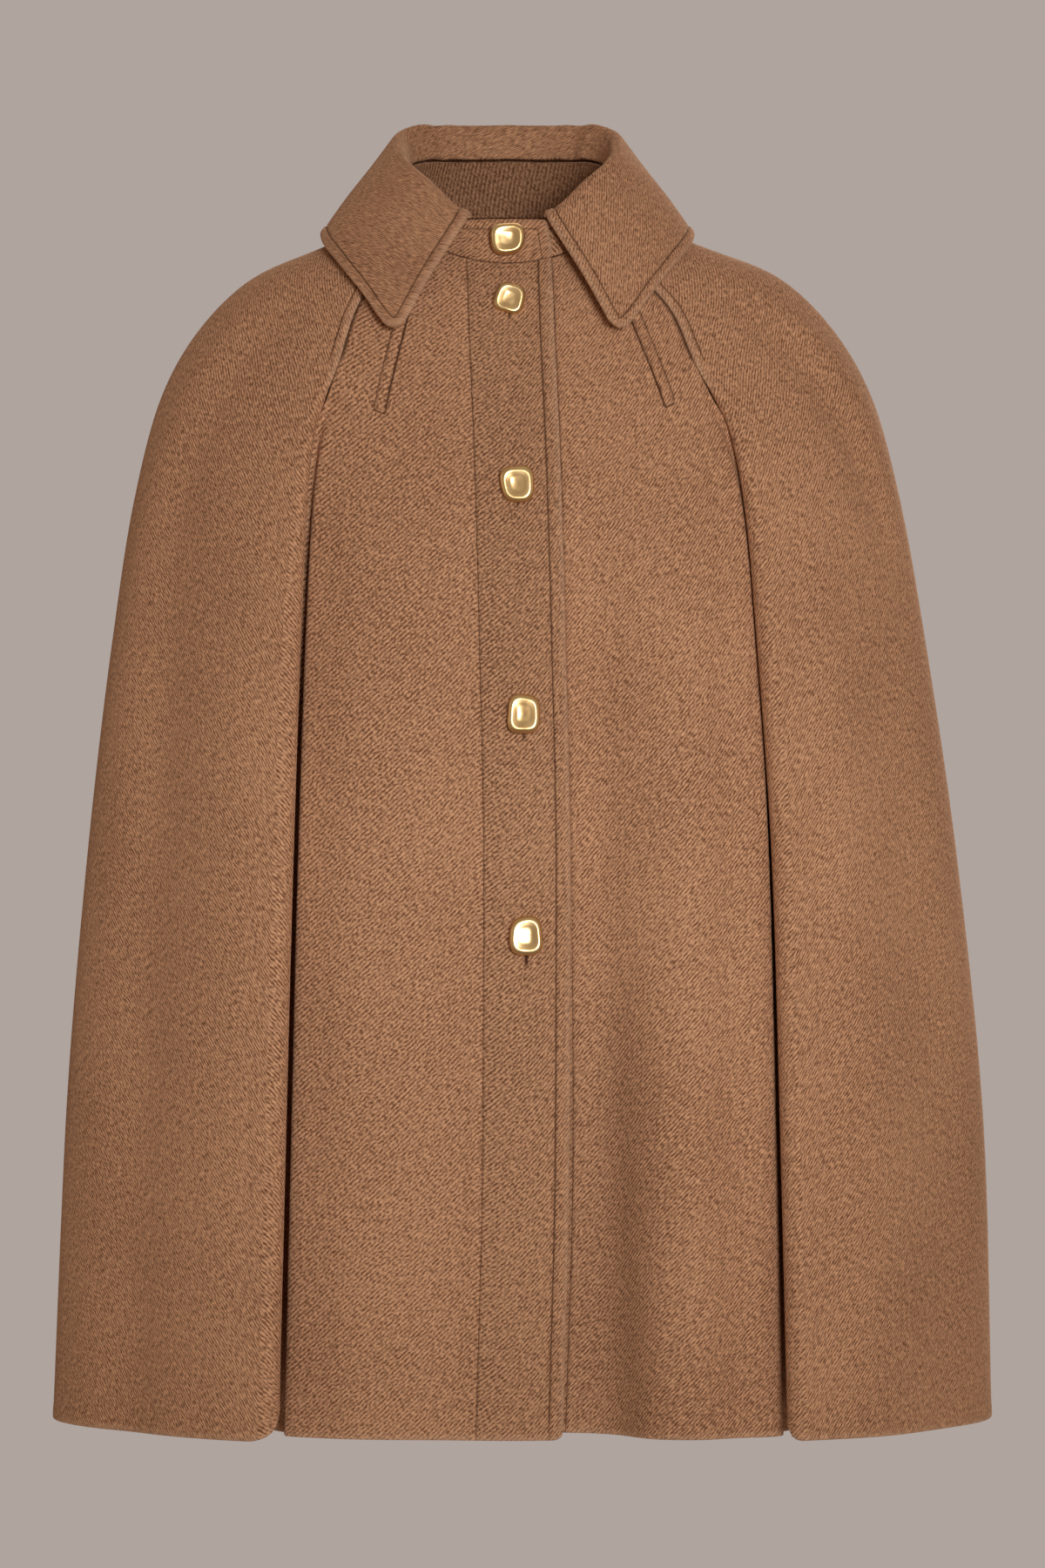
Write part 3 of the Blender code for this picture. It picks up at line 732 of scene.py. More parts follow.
def new_piece(name: str, points: Array, *faces: Array, uv: Array | None = None, edge: Array | None = None
              ) -> bpy.types.Object:
    """Makes a smooth mesh object from points in millimetres and arrays of faces.

    Args:
        name: the object's name.
        points: the vertices.
        faces: arrays of vertex numbers, one row per face.
        uv: a place on the cloth for each vertex, in metres.
        edge: the edge attribute of each vertex: worn nap near a free edge, and painted shade where it is
            below 0.

    Returns:
        The object, at the origin.
    """
    mesh = bpy.data.meshes.new(name)
    corners = np.concatenate([rows.ravel() for rows in faces]).astype(np.int32)
    sizes = np.concatenate([np.full(len(rows), rows.shape[1]) for rows in faces])
    mesh.vertices.add(len(points))
    mesh.vertices.foreach_set("co", (points * MM).astype(np.float32).ravel())
    mesh.loops.add(len(corners))
    mesh.loops.foreach_set("vertex_index", corners)
    mesh.polygons.add(len(sizes))
    mesh.polygons.foreach_set("loop_start", (np.cumsum(sizes) - sizes).astype(np.int32))
    mesh.update(calc_edges=True)
    mesh.validate()
    mesh.shade_smooth()
    if uv is not None:
        layer = mesh.uv_layers.new(name=GRAIN_MAP)
        layer.uv.foreach_set("vector", uv[corners].astype(np.float32).ravel())
    if edge is not None:
        attribute = mesh.attributes.new(NAP_AND_PAINTED_SHADE, "FLOAT", "POINT")
        attribute.data.foreach_set("value", edge.astype(np.float32))
    made = bpy.data.objects.new(name, mesh)
    bpy.context.scene.collection.objects.link(made)
    return made


def tube_faces(rings: int, sides: int) -> tuple[Array, Array]:
    """Faces of a closed tube whose vertices are its rings and then its tips: quads, and a fan at each end.

    Args:
        rings: how many rings of vertices.
        sides: vertices in a ring.

    Returns:
        The quads and the end triangles.
    """
    grid = np.arange(rings * sides).reshape(rings, sides)
    after = np.roll(grid, -1, axis=1)
    first, last = np.full(sides, grid.size), np.full(sides, grid.size + 1)
    quads = np.stack([grid[:-1], grid[1:], after[1:], after[:-1]], -1).reshape(-1, 4)
    return quads, np.concatenate([np.stack([first, grid[0], after[0]], -1),
                                  np.stack([last, after[-1], grid[-1]], -1)])


def flipped(faces: Array) -> Array:
    """The same faces turned over, each from its own first vertex."""
    return np.roll(faces[:, ::-1], 1, axis=1)


def groove(distance: Array, at: float, depth: float, width: float = 0.75) -> Array:
    """A fine furrow, as negative relief, where a line of stitches pulls the cloth in."""
    return -depth * hump(distance, at, width)


def puff(distance: Array, first: float, last: float, height: float) -> Array:
    """A soft padded rise between two lines: the root of a half sine wave."""
    share = np.clip((distance - first) / (last - first), 0, 1)
    return height * np.sqrt(np.sin(math.pi * share))


def topstitched(distance: Array, stitch_in: float, depth: float, height: float) -> Array:
    """Relief of a topstitched edge: a furrow under its stitches and a puff from there to the edge."""
    return groove(distance, stitch_in, depth) + puff(distance, 0.0, stitch_in, height)


# --- finishes -----------------------------------------------------------------------------------


def linear(hex_colour: str) -> tuple[float, float, float, float]:
    """An sRGB hex colour as linear red, green, blue and 1."""
    levels = [int(hex_colour[k:k + 2], 16) / 255 for k in (1, 3, 5)]
    return (*(x / 12.92 if x <= 0.04045 else ((x + 0.055) / 1.055) ** 2.4 for x in levels), 1.0)


def add_node(tree: bpy.types.NodeTree, kind: str, inputs: dict | None = None,
             **settings: object) -> bpy.types.Node:
    """Adds a node.

    Args:
        tree: where it goes.
        kind: its type's name after ShaderNode.
        inputs: for each socket's name or number, a value, a node whose first output feeds it, or
            (node, output).
        settings: the node's own properties.

    Returns:
        The node.
    """
    made = tree.nodes.new(f"ShaderNode{kind}")
    for key, value in settings.items():
        setattr(made, key, value)
    for key, value in (inputs or {}).items():
        if isinstance(value, bpy.types.Node):
            value = (value, 0)
        if isinstance(value, tuple) and isinstance(value[0], bpy.types.Node):
            tree.links.new(value[0].outputs[value[1]], made.inputs[key])
        else:
            made.inputs[key].default_value = value
    return made


def new_material(name: str) -> tuple[bpy.types.Material, bpy.types.NodeTree]:
    """An empty node material and its tree."""
    material = bpy.data.materials.new(name)
    material.use_nodes = True
    material.node_tree.nodes.clear()
    return material, material.node_tree


@dataclass(frozen=True)
class CamelTwill:
    """Wool coating woven as a coarse twill, fulled and brushed: dry and matt, with a short pale nap.

    The eye sees fine slanting ribs broken by light and dark fibres, and edges that look a little paler
    because the nap stands out there.
    """

    name: str
    lean: int = 1                    # 1 if the ribs rise to the right, -1 to the left
    light: str = "#E0AE87"
    dark: str = "#7A5138"
    nap: str = "#E7C3A4"
    furrow: str = "#4E2F1C"          # painted shade: the dark mixed into grooves and seams, where shade lies
    slant: float = 43.0              # of the ribs, in degrees
    rib_mm: float = 2.0              # from rib to rib, a little coarser than the real cloth so that it shows
    fibre_mm: float = 1.2            # size of a fleck; real flecks are finer, and wouldn't show
    clump_mm: float = 6.0            # size of a cloudier patch
    clouds: float = 9.0              # slow changes of tone to a metre
    rib_share: float = 0.6           # how much each pattern lightens and darkens the yarn
    fleck_share: float = 3.38
    clump_share: float = 0.5
    cloud_share: float = 0.35
    nap_share: float = 0.25          # how much of the nap's colour shows on a free edge
    bump_mm: float = 0.35

    def make(self) -> bpy.types.Material:
        """Builds the material: half light, plus each pattern's distance from a half times its share."""
        material, tree = new_material(self.name)
        grain = add_node(tree, "UVMap", uv_map=GRAIN_MAP)
        lean = self.lean * math.radians(self.slant)
        turned = add_node(tree, "Mapping", {"Vector": grain, "Rotation": (0, 0, lean)})
        waves = math.pi / 10 / (self.rib_mm * MM)      # at scale 1 the bands are pi / 10 of a metre apart
        rib = add_node(tree, "TexWave", {"Vector": turned, "Scale": waves, "Distortion": 1.5, "Detail": 2.0,
                                         "Detail Scale": 1.6, "Detail Roughness": 0.6},
                       wave_type="BANDS", bands_direction="X")
        drawn = add_node(tree, "Mapping", {"Vector": turned, "Scale": (1.0, 0.5, 1.0)})
        fleck = add_node(tree, "TexNoise", {"Vector": drawn, "Scale": 1 / (self.fibre_mm * MM),
                                            "Detail": 3.0, "Roughness": 0.6, "Distortion": 0.3})
        clump = add_node(tree, "TexNoise", {"Vector": grain, "Scale": 1 / (self.clump_mm * MM),
                                            "Detail": 2.0})
        cloud = add_node(tree, "TexNoise", {"Vector": grain, "Scale": self.clouds, "Detail": 1.0})
        mixed = add_node(tree, "Math", {0: fleck, 1: self.fleck_share, 2: 0.5 - 0.5 * self.fleck_share},
                         operation="MULTIPLY_ADD")
        patterns = ((rib, self.rib_share), (clump, self.clump_share), (cloud, self.cloud_share))
        for pattern, share in patterns:
            mixed = add_node(tree, "Math", {0: pattern, 1: share, 2: mixed}, operation="MULTIPLY_ADD")
        middle = 0.5 * sum(share for _, share in patterns)
        tone = add_node(tree, "Math", {0: mixed, 1: middle}, operation="SUBTRACT", use_clamp=True)
        yarn = add_node(tree, "Mix", {0: tone, 6: linear(self.dark), 7: linear(self.light)}, data_type="RGBA")
        edge = add_node(tree, "Attribute", attribute_name=NAP_AND_PAINTED_SHADE)
        raised = add_node(tree, "Math", {0: (edge, 2), 1: self.nap_share}, operation="MULTIPLY",
                          use_clamp=True)
        worn = add_node(tree, "Mix", {0: raised, 6: (yarn, 2), 7: linear(self.nap)}, data_type="RGBA")
        # Painted shade: where the attribute is below 0, in grooves and seams, the colour is mixed towards the
        # furrow's dark.
        furrow = add_node(tree, "Math", {0: (edge, 2), 1: -1 / FURROW_PAINTED_SHADE}, operation="MULTIPLY",
                          use_clamp=True)
        worn = add_node(tree, "Mix", {0: furrow, 6: (worn, 2), 7: linear(self.furrow)}, data_type="RGBA")
        relief = add_node(tree, "Math", {0: rib, 1: 0.6, 2: fleck}, operation="MULTIPLY_ADD")
        bump = add_node(tree, "Bump", {"Height": relief, "Strength": 0.4, "Distance": self.bump_mm * MM})
        shader = add_node(tree, "BsdfPrincipled", {"Base Color": (worn, 2), "Roughness": 0.95, "IOR": 1.54,
                                                   "Specular IOR Level": 0.25, "Sheen Weight": 0.30,
                                                   "Sheen Roughness": 0.45, "Sheen Tint": linear(self.nap),
                                                   "Normal": bump})
        add_node(tree, "OutputMaterial", {"Surface": shader})
        return material


@dataclass(frozen=True)
class CamelThread:
    """Spun polyester sewing thread, dyed to match: a little darker and glossier than the wool."""

    name: str = "camel_sewing_thread"
    dark: str = "#8C6040"
    light: str = "#A87A57"
    twist_mm: float = 0.5
    roughness: float = 0.6

    def make(self) -> bpy.types.Material:
        """Builds the material, with a fine twist across the thread."""
        material, tree = new_material(self.name)
        place = add_node(tree, "TexCoord")
        twist = add_node(tree, "TexNoise", {"Vector": (place, "Object"), "Scale": 1 / (self.twist_mm * MM),
                                            "Detail": 1.0})
        tone = add_node(tree, "Mix", {0: twist, 6: linear(self.dark), 7: linear(self.light)},
                        data_type="RGBA")
        shader = add_node(tree, "BsdfPrincipled", {"Base Color": (tone, 2), "Roughness": self.roughness,
                                                   "IOR": 1.57, "Sheen Weight": 0.2})
        add_node(tree, "OutputMaterial", {"Surface": shader})
        return material


@dataclass(frozen=True)
class CastGold:
    """Zinc casting, tumbled smooth and gold plated: a warm mirror, softened by a satin skin."""

    name: str = "gold_plated_casting"
    bright: str = "#EFD6A4"
    deep: str = "#D2A468"
    patch_mm: float = 14.0           # size of the patches in its colour
    skin_mm: float = 3.5             # and of the unevenness of its skin
    roughness: float = 0.31

    def make(self) -> bpy.types.Material:
        """Builds the material: the plating deepens in patches, and the cast skin is faintly uneven."""
        material, tree = new_material(self.name)
        place = add_node(tree, "TexCoord")
        patch, skin = (add_node(tree, "TexNoise", {"Vector": (place, "Object"), "Scale": 1 / (size * MM),
                                                   "Detail": detail})
                       for size, detail in ((self.patch_mm, 2.0), (self.skin_mm, 3.0)))
        tone = add_node(tree, "Mix", {0: patch, 6: linear(self.bright), 7: linear(self.deep)},
                        data_type="RGBA")
        rough = add_node(tree, "Math", {0: skin, 1: 0.12, 2: self.roughness - 0.06}, operation="MULTIPLY_ADD")
        bump = add_node(tree, "Bump", {"Height": skin, "Strength": 0.25, "Distance": 0.25 * MM})
        shader = add_node(tree, "BsdfPrincipled", {"Base Color": (tone, 2), "Metallic": 1.0,
                                                   "Roughness": rough, "Normal": bump})
        add_node(tree, "OutputMaterial", {"Surface": shader})
        return material


@dataclass(frozen=True)
class PaperFloor:
    """Matt seamless paper: pale and plain, fading into the backdrop's own colour."""

    name: str = "seamless_paper"
    colour: str = "#E6EAEE"
    clear_from: float = 2.2          # metres from the middle where it starts to fade, and where it has gone
    clear_by: float = 4.0

    def make(self) -> bpy.types.Material:
        """Builds the material: opaque in the middle, clear from a distance out."""
        material, tree = new_material(self.name)
        place = add_node(tree, "TexCoord")
        flat = add_node(tree, "VectorMath", {0: (place, "Object"), 1: (1.0, 1.0, 0.0)}, operation="MULTIPLY")
        out = add_node(tree, "VectorMath", {0: flat}, operation="LENGTH")
        fade = add_node(tree, "MapRange", {"Value": (out, "Value"), "From Min": self.clear_from,
                                           "From Max": self.clear_by}, interpolation_type="SMOOTHSTEP")
        paper = add_node(tree, "BsdfPrincipled", {"Base Color": linear(self.colour), "Roughness": 0.9})
        clear = add_node(tree, "BsdfTransparent")
        mixed = add_node(tree, "MixShader", {0: fade, 1: paper, 2: clear})
        add_node(tree, "OutputMaterial", {"Surface": mixed})
        return material


# --- sub-assemblies -----------------------------------------------------------------------------


def box_of(node: str) -> tuple[Array, Array]:
    """A solid's low and high corner, in millimetres."""
    low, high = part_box(node)
    return np.array(low) / MM, np.array(high) / MM


def dress(piece: bpy.types.Object, finish: bpy.types.Material, slot: Slot, *stands_for: str) -> None:
    """Gives a piece its material, its body and the solids that it stands for, and reports it.

    Args:
        piece: the finished mesh.
        finish: its material.
        slot: the record's slot; not used.
        stands_for: CAD nodes that it replaces.
    """
    piece.data.materials.append(finish)
    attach(piece, "root")
    if stands_for:
        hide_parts(*stands_for)
    log.info("%s: %d faces", piece.name, len(piece.data.polygons))


@dataclass
class Stitching:
    """Lines of topstitching, gathered from the pieces they run on and made as one mesh of small stitches."""

    name: str
    pitch: float = 3.3
    length: float = 2.5
    width: float = 0.62
    sunk: float = 0.18           # how far the middle of a stitch lies under the cloth's face,
    dive: float = 0.5            # and how much deeper its tips lie
    sides: int = 6
    lines: list[tuple[Array, Array]] = field(default_factory=list)

    def add(self, points: Array, normals: Array) -> None:
        """Adds a line along points of an outer face, with its normals there."""
        self.lines.append((points, normals))

    def _centres(self) -> tuple[Array, Array, Array]:
        """Every stitch's middle, direction and normal, evenly spaced along each line."""
        found = []
        for points, normals in self.lines:
            run = lengths(points[:, None])[:, 0]
            count = max(int(run[-1] / self.pitch), 1)
            at = (np.arange(count) + 0.5) * run[-1] / count
            read = [np.stack([np.interp(where, run, value[:, k]) for k in range(3)], -1)
                    for where, value in ((at, points), (at + 0.5, points), (at - 0.5, points), (at, normals))]
            found.append((read[0], read[1] - read[2], read[3]))
        middle, along, normal = (np.concatenate(parts) for parts in zip(*found))
        along /= np.linalg.norm(along, axis=-1, keepdims=True)
        normal -= along * (normal * along).sum(-1, keepdims=True)
        return middle, along, normal / np.linalg.norm(normal, axis=-1, keepdims=True)

    def make(self, finish: bpy.types.Material) -> None:
        """Makes the mesh: each stitch is a spindle whose ends dive into the cloth.

        Round its axis it is an ellipse, its radius the root of 1 - t*t for t from -1 to 1, and its axis
        sinks by t*t.
        """
        middle, along, normal = self._centres()
        beside = np.cross(normal, along)
        t = np.array([-0.8, -0.3, 0.3, 0.8])
        turn = np.linspace(0, 2 * math.pi, self.sides, endpoint=False)
        radius = 0.5 * self.width * np.sqrt(1 - t ** 2)
        ring = joined(0.5 * self.length * t[:, None], radius[:, None] * np.cos(turn),
                      radius[:, None] * np.sin(turn) - self.sunk - self.dive * t[:, None] ** 2)
        tips = joined(0.5 * self.length * np.array([-1.0, 1.0]), 0.0, -self.sunk - self.dive)
        local = np.concatenate([ring.reshape(-1, 3), tips])[None]
        points = middle[:, None] + sum(local[..., k:k + 1] * axis[:, None]
                                       for k, axis in enumerate((along, beside, normal)))
        offset = (np.arange(len(middle)) * local.shape[1])[:, None, None]
        faces = [(rows + offset).reshape(-1, rows.shape[1]) for rows in tube_faces(len(t), self.sides)]
        piece = new_piece(self.name, points.reshape(-1, 3), *faces)
        dress(piece, finish, Slot.CLOTH)


@dataclass
class Plackets:
    """The buttonhole band on the wearer's right and the button band under it."""

    form: CapeForm
    twill: bpy.types.Material
    thickness: float = 3.0
    stitch_in: float = 8.8           # topstitching from the free edge
    hole_deep: float = 1.8           # how deep a buttonhole's furrow is,
    hole_rise: float = 0.4           # and how high the rise that it lies on
    hole_top: float = 4.0            # each buttonhole's upper end above its button's middle,
    hole_ends: tuple[float, ...] = (13.0, 15.5, 17.0, 20.5)    # and its lower end below it

    def build(self, holes: Sequence[tuple[float, float]], stitching: Stitching) -> None:
        """Builds both bands.

        Args:
            holes: x and z of each button that goes through the upper band.
            stitching: where the topstitching goes.
        """
        middle = 0.5 * self.form.placket_width
        for side, order in ((Side.RIGHT, "upper"), (Side.LEFT, "under")):
            across = [Span(0.0, 1.0, edge_lines(middle - 0.5, self.stitch_in, spacing=1.7),
                           edge_lines(middle - 0.5, spacing=1.0), 2)]
            down = Span(0.0, HEM, edge_lines(12.0), edge_lines(16.0), 210)
            corners = Corners(start_hem=6.0)
            cloth = Cloth.lay_out(self.form.placket(side.value), across, down, -side.value, corners)
            cloth.raise_up(front_creases(cloth))
            face = topstitched(cloth.from_start, self.stitch_in, 0.95, 0.55) + cloth.hem_puff()
            if side is Side.RIGHT:
                face += self._buttonholes(cloth, holes)
            piece = cloth.shell(f"{order}_placket", self.thickness, face, side.value * cloth.from_start,
                                (Edge.END, Edge.TOP))
            dress(piece, self.twill, Slot.CLOTH, f"{side.name.lower()}_placket")
            stitching.add(*cloth.trace(self.stitch_in, 4.0, math.inf))

    def _buttonholes(self, cloth: Cloth, holes: Sequence[tuple[float, float]]) -> Array:
        """Relief of the buttonholes: a narrow deep furrow on a wide low rise, along each hole's length.

        Args:
            cloth: the band.
            holes: x and z of each button.

        Returns:
            The relief.
        """
        relief = np.zeros_like(cloth.u)
        for (x, z), end in zip(holes, self.hole_ends):
            across, below = cloth.point[..., 0], z - cloth.point[..., 2]
            open_here = smooth((below + self.hole_top) / 1.5) * smooth((end - below) / 1.5)
            furrow = self.hole_deep * hump(across, x, 1.0) - self.hole_rise * hump(across, x, 3.0)
            relief -= furrow * open_here
        return relief


FRONT_CREASES = (
    #      top    hem  spread starts full height
    Crease(-108.0, -112.0, 24.0, 4.0, 7.4, 3.2),
    Crease(-44.0, -50.0, 22.0, 4.4, 7.8, -2.2),
    Crease(37.0, 50.0, 24.0, 3.6, 6.6, -11.5),
    Crease(98.0, 106.0, 20.0, 4.2, 7.2, 8.0),
    Crease(-12.0, -8.0, 20.0, 5.6, 8.6, 1.2),
    Crease(-130.0, -140.0, 12.0, 3.15, 4.2, 4.5),
    Crease(130.0, 149.0, 14.0, 3.15, 4.6, 7.5),
)


def front_creases(cloth: Cloth) -> Array:
    """Relief of the front creases on a front panel or a placket, by the point's own x."""
    return creased(FRONT_CREASES, cloth.point[..., 0], cloth.s)


class Tuck(NamedTuple):
    """A short stitched pleat below the collar."""

    top: float             # its fold from the placket seam, at the neck and at its lower end
    low: float
    down: float            # how far down it ends
    strip: float           # from the fold to its topstitching


@dataclass
class Fronts:
    """The two front panels, each with a short stitched tuck below the collar."""

    form: CapeForm
    twill: bpy.types.Material
    dive: float = 15.0               # how far a panel drops where it goes in behind the side panel's edge,
    dive_before: float = 5.0         # this far before that edge,
    dive_reach: float = 3.8          # within this distance to each side,
    dive_top: float = 3.05           # from this level down, full a dive_within further,
    dive_within: float = 0.8
    dive_out: float = 22.0           # and gone again over this distance from the bottom of the fold
    pressed_in: float = 0.7          # how much lower the face lies along the lapped seam
    flat_width: dict[Side, float] = field(default_factory=lambda: {Side.RIGHT: 0.208, Side.LEFT: 0.238})
    area: dict[Side, float] = field(default_factory=lambda: {Side.RIGHT: 0.118, Side.LEFT: 0.129})
    tucks: dict[Side, Tuck] = field(default_factory=lambda: {
        Side.RIGHT: Tuck(25.5, 55.6, 120.0, 6.8),
        Side.LEFT: Tuck(29.4, 66.7, 124.0, 6.2),
    })

    def _dive(self, cloth: Cloth, side: int) -> Array:
        """How far the panel has dropped: an S-curve before the side panel's edge, and back in the fold."""
        ring = self.form.level(cloth.s)
        past = side * (cloth.point[..., 0] - ring.mid_x) - self.form.across(ring, side) + self.dive_before
        drop = smooth((past + self.dive_reach) / (2 * self.dive_reach))
        drop = drop * smooth((cloth.s - self.dive_top) / self.dive_within)
        return self.dive * drop * smooth(cloth.from_end / self.dive_out)

    @staticmethod
    def _pleat(cloth: Cloth, tuck: Tuck, past: Array) -> Array:
        """Relief of a tuck: a puffed strip between two furrows, closed by a furrow across its lower end.

        Args:
            cloth: the panel.
            tuck: the tuck's sizes.
            past: distance past its fold.

        Returns:
            The relief of the outer face.
        """
        along = puff(past, 0.0, tuck.strip, 0.9) + groove(past, 0.0, 1.25, 0.8)
        along += groove(past, tuck.strip, 0.85, 0.8)
        across = groove(cloth.from_top, tuck.down - 1.0, 1.0, 0.8) * ((past >= 0) & (past <= tuck.strip))
        return along * smooth((tuck.down - cloth.from_top) / 3.0) + across

    def build(self, stitching: Stitching) -> None:
        """Builds both panels and adds their tucks' stitches."""
        for side in Side:
            tuck = self.tucks[side]
            across = [Span(0.0, 1.0, edge_lines(5.0), edge_lines(6.0), 128)]
            beside_tuck = edge_lines(tuck.down + 4.0, tuck.down - 1.0, spacing=3.4)
            down = Span(0.0, HEM, beside_tuck, edge_lines(16.0), 178)
            cloth = Cloth.lay_out(self.form.front_panel(side.value), across, down, -side.value,
                                  Corners(end_hem=5.0))
            cloth.raise_up(front_creases(cloth) - self._dive(cloth, side.value))
            fold = tuck.top + (tuck.low - tuck.top) * np.clip(cloth.from_top / tuck.down, 0, 1)
            face = self._pleat(cloth, tuck, cloth.from_start - fold) + cloth.hem_puff()
            lapped = smooth((self.form.slit_top + 0.1 - cloth.s) / 0.3)
            face -= self.pressed_in * (1.0 - smooth((cloth.from_end - 1.0) / 3.0)) * lapped
            piece = cloth.shell(f"{side.name.lower()}_front_cloth", self.form.cloth, face,
                                side.value * cloth.from_start, (Edge.START, Edge.END, Edge.TOP))
            dress(piece, self.twill, Slot.CLOTH, f"{side.name.lower()}_front")
            stitching.add(*cloth.trace(fold[0] + tuck.strip, 30.0, tuck.down - 1.0))


SIDE_CREASES = {
    Side.RIGHT: (
        #      top   hem spread starts full height
        Crease(41.0, 37.0, 6.0, 3.6, 7.0, 3.4),
        Crease(60.0, 57.0, 8.5, 3.8, 7.0, -8.2),
        Crease(84.0, 80.0, 9.0, 4.8, 8.2, 3.0),
        Crease(112.0, 108.0, 8.0, 5.0, 8.6, -3.4),
        Crease(48.0, 72.0, 5.0, 1.2, 3.4, -2.2, 4.2),
        Crease(60.0, 82.0, 5.0, 1.0, 3.2, 1.8, 4.6),
    ),
    Side.LEFT: (
        Crease(45.0, 46.0, 7.0, 3.8, 6.6, 4.0),
        Crease(60.0, 64.0, 9.0, 4.4, 7.4, -4.0),
        Crease(80.0, 86.0, 9.0, 5.2, 8.4, 1.8),
        Crease(108.0, 114.0, 8.5, 4.6, 8.8, -2.2),
        Crease(46.0, 88.0, 5.0, 1.0, 3.2, -3.2, 4.4),
        Crease(58.0, 98.0, 6.0, 1.2, 3.4, 2.4, 4.0),
    ),
}
BACK_CREASES = (
    Crease(-14.0, -19.0, 6.0, 3.2, 7.6, 2.0),
    Crease(6.0, 9.0, 7.5, 4.0, 8.4, -1.8),
    Crease(24.0, 27.0, 5.5, 4.6, 8.8, 1.6),
)


@dataclass
class Sides:
    """The two side panels: shoulder, arm and side, lapped over the fronts and folded back at the slit."""

    form: CapeForm
    twill: dict[Side, bpy.types.Material]
    stitch_in: float = 6.2           # topstitching from the lapped seam
    hem_corner: dict[Side, float] = field(default_factory=lambda: {Side.RIGHT: 17.0, Side.LEFT: 8.0})
    facing: float = 35.0             # the pressed facing's width behind the leading edge,
    facing_rise: float = 0.55        # and how far it stands out
    facing_low: float = 60.0         # it dies away from this height above the hem
    brink_lines: tuple[float, ...] = (     # grid lines before the leading edge, close where it bends
        0.0, 0.7, 1.4, 2.0, 2.4, 2.8, 3.2, 3.7, 4.2, 5.0, 6.0, 7.5, 9.5, 12.0, 15.0, 18.0,
    )

    def angle(self, cloth: Cloth, side: int) -> Array:
        """Each point's angle from the front centre, in degrees, on its ring's oval."""
        ring = self.form.level(cloth.s)
        x, y = (cloth.point[..., 0] - ring.mid_x) * side / ring.half_width, cloth.point[..., 1]
        return np.degrees(np.arctan2(x, -y / np.where(y < 0, ring.side_depth, ring.back_depth)))

    def build(self, stitching: Stitching) -> None:
        """Builds both panels and adds the topstitching along their lapped seams."""
        brink, rolled = self.form.brink, self.form.rolled
        across = [Span(0.0, brink, edge_lines(6.0), self.brink_lines, 92),
                  Span(brink, rolled, [0.0], [0.0], 7),
                  Span(rolled, 1.0, [0.0], edge_lines(4.0), 16)]
        down = Span(0.0, HEM, edge_lines(6.0), edge_lines(18.0), 205)
        for side in Side:
            cloth = Cloth.lay_out(self.form.side_panel(side.value), across, down, side.value,
                                  Corners(brink_hem=self.hem_corner[side]))
            place = self.angle(cloth, side.value)
            shown = 1.0 - smooth((cloth.from_brink - 4.0) / 12.0)
            cloth.raise_up(creased(SIDE_CREASES[side], place, cloth.s) * shown)
            sewn = 1.0 - smooth((cloth.s - 2.85) / 0.25)
            face = topstitched(cloth.from_end, self.stitch_in, 0.95, 0.9) * sewn + cloth.hem_puff()
            pressed = smooth((cloth.from_brink + self.facing) / 2.5)
            pressed = pressed * smooth((self.facing_low - cloth.from_hem) / 50.0)
            face += self.facing_rise * pressed * shown
            piece = cloth.shell(f"{side.name.lower()}_side_cloth", self.form.cloth, face,
                                -side.value * cloth.from_brink, (Edge.START, Edge.TOP))
            dress(piece, self.twill[side], Slot.CLOTH, f"{side.name.lower()}_side")
            far = cloth.from_start[-1] + cloth.from_end[-1]
            stitching.add(*cloth.trace(far - self.stitch_in, 20.0, self._slit_top(cloth)))

    def _slit_top(self, cloth: Cloth) -> float:
        """How far down the cloth's last column the slit starts."""
        return float(np.interp(self.form.slit_top, cloth.s[-1], cloth.from_top[-1]))


@dataclass
class Back:
    """The back panel, between the two back seams."""

    form: CapeForm
    twill: bpy.types.Material

    def build(self) -> None:
        """Builds the panel."""
        across = [Span(-1.0, 1.0, edge_lines(5.0), edge_lines(5.0), 92)]
        down = Span(0.0, HEM, edge_lines(6.0), edge_lines(16.0), 190)
        cloth = Cloth.lay_out(self.form.back_panel, across, down, 1)
        ring = self.form.level(cloth.s)
        place = np.degrees(np.arctan2((cloth.point[..., 0] - ring.mid_x) / ring.half_width,
                                      cloth.point[..., 1] / ring.back_depth))
        cloth.raise_up(creased(BACK_CREASES, place, cloth.s))
        middle = 0.5 * (cloth.from_start + cloth.from_end)
        piece = cloth.shell("back_cloth", self.form.cloth, cloth.hem_puff(), middle - cloth.from_start,
                            (Edge.START, Edge.END, Edge.TOP))
        dress(piece, self.twill, Slot.CLOTH, "back")


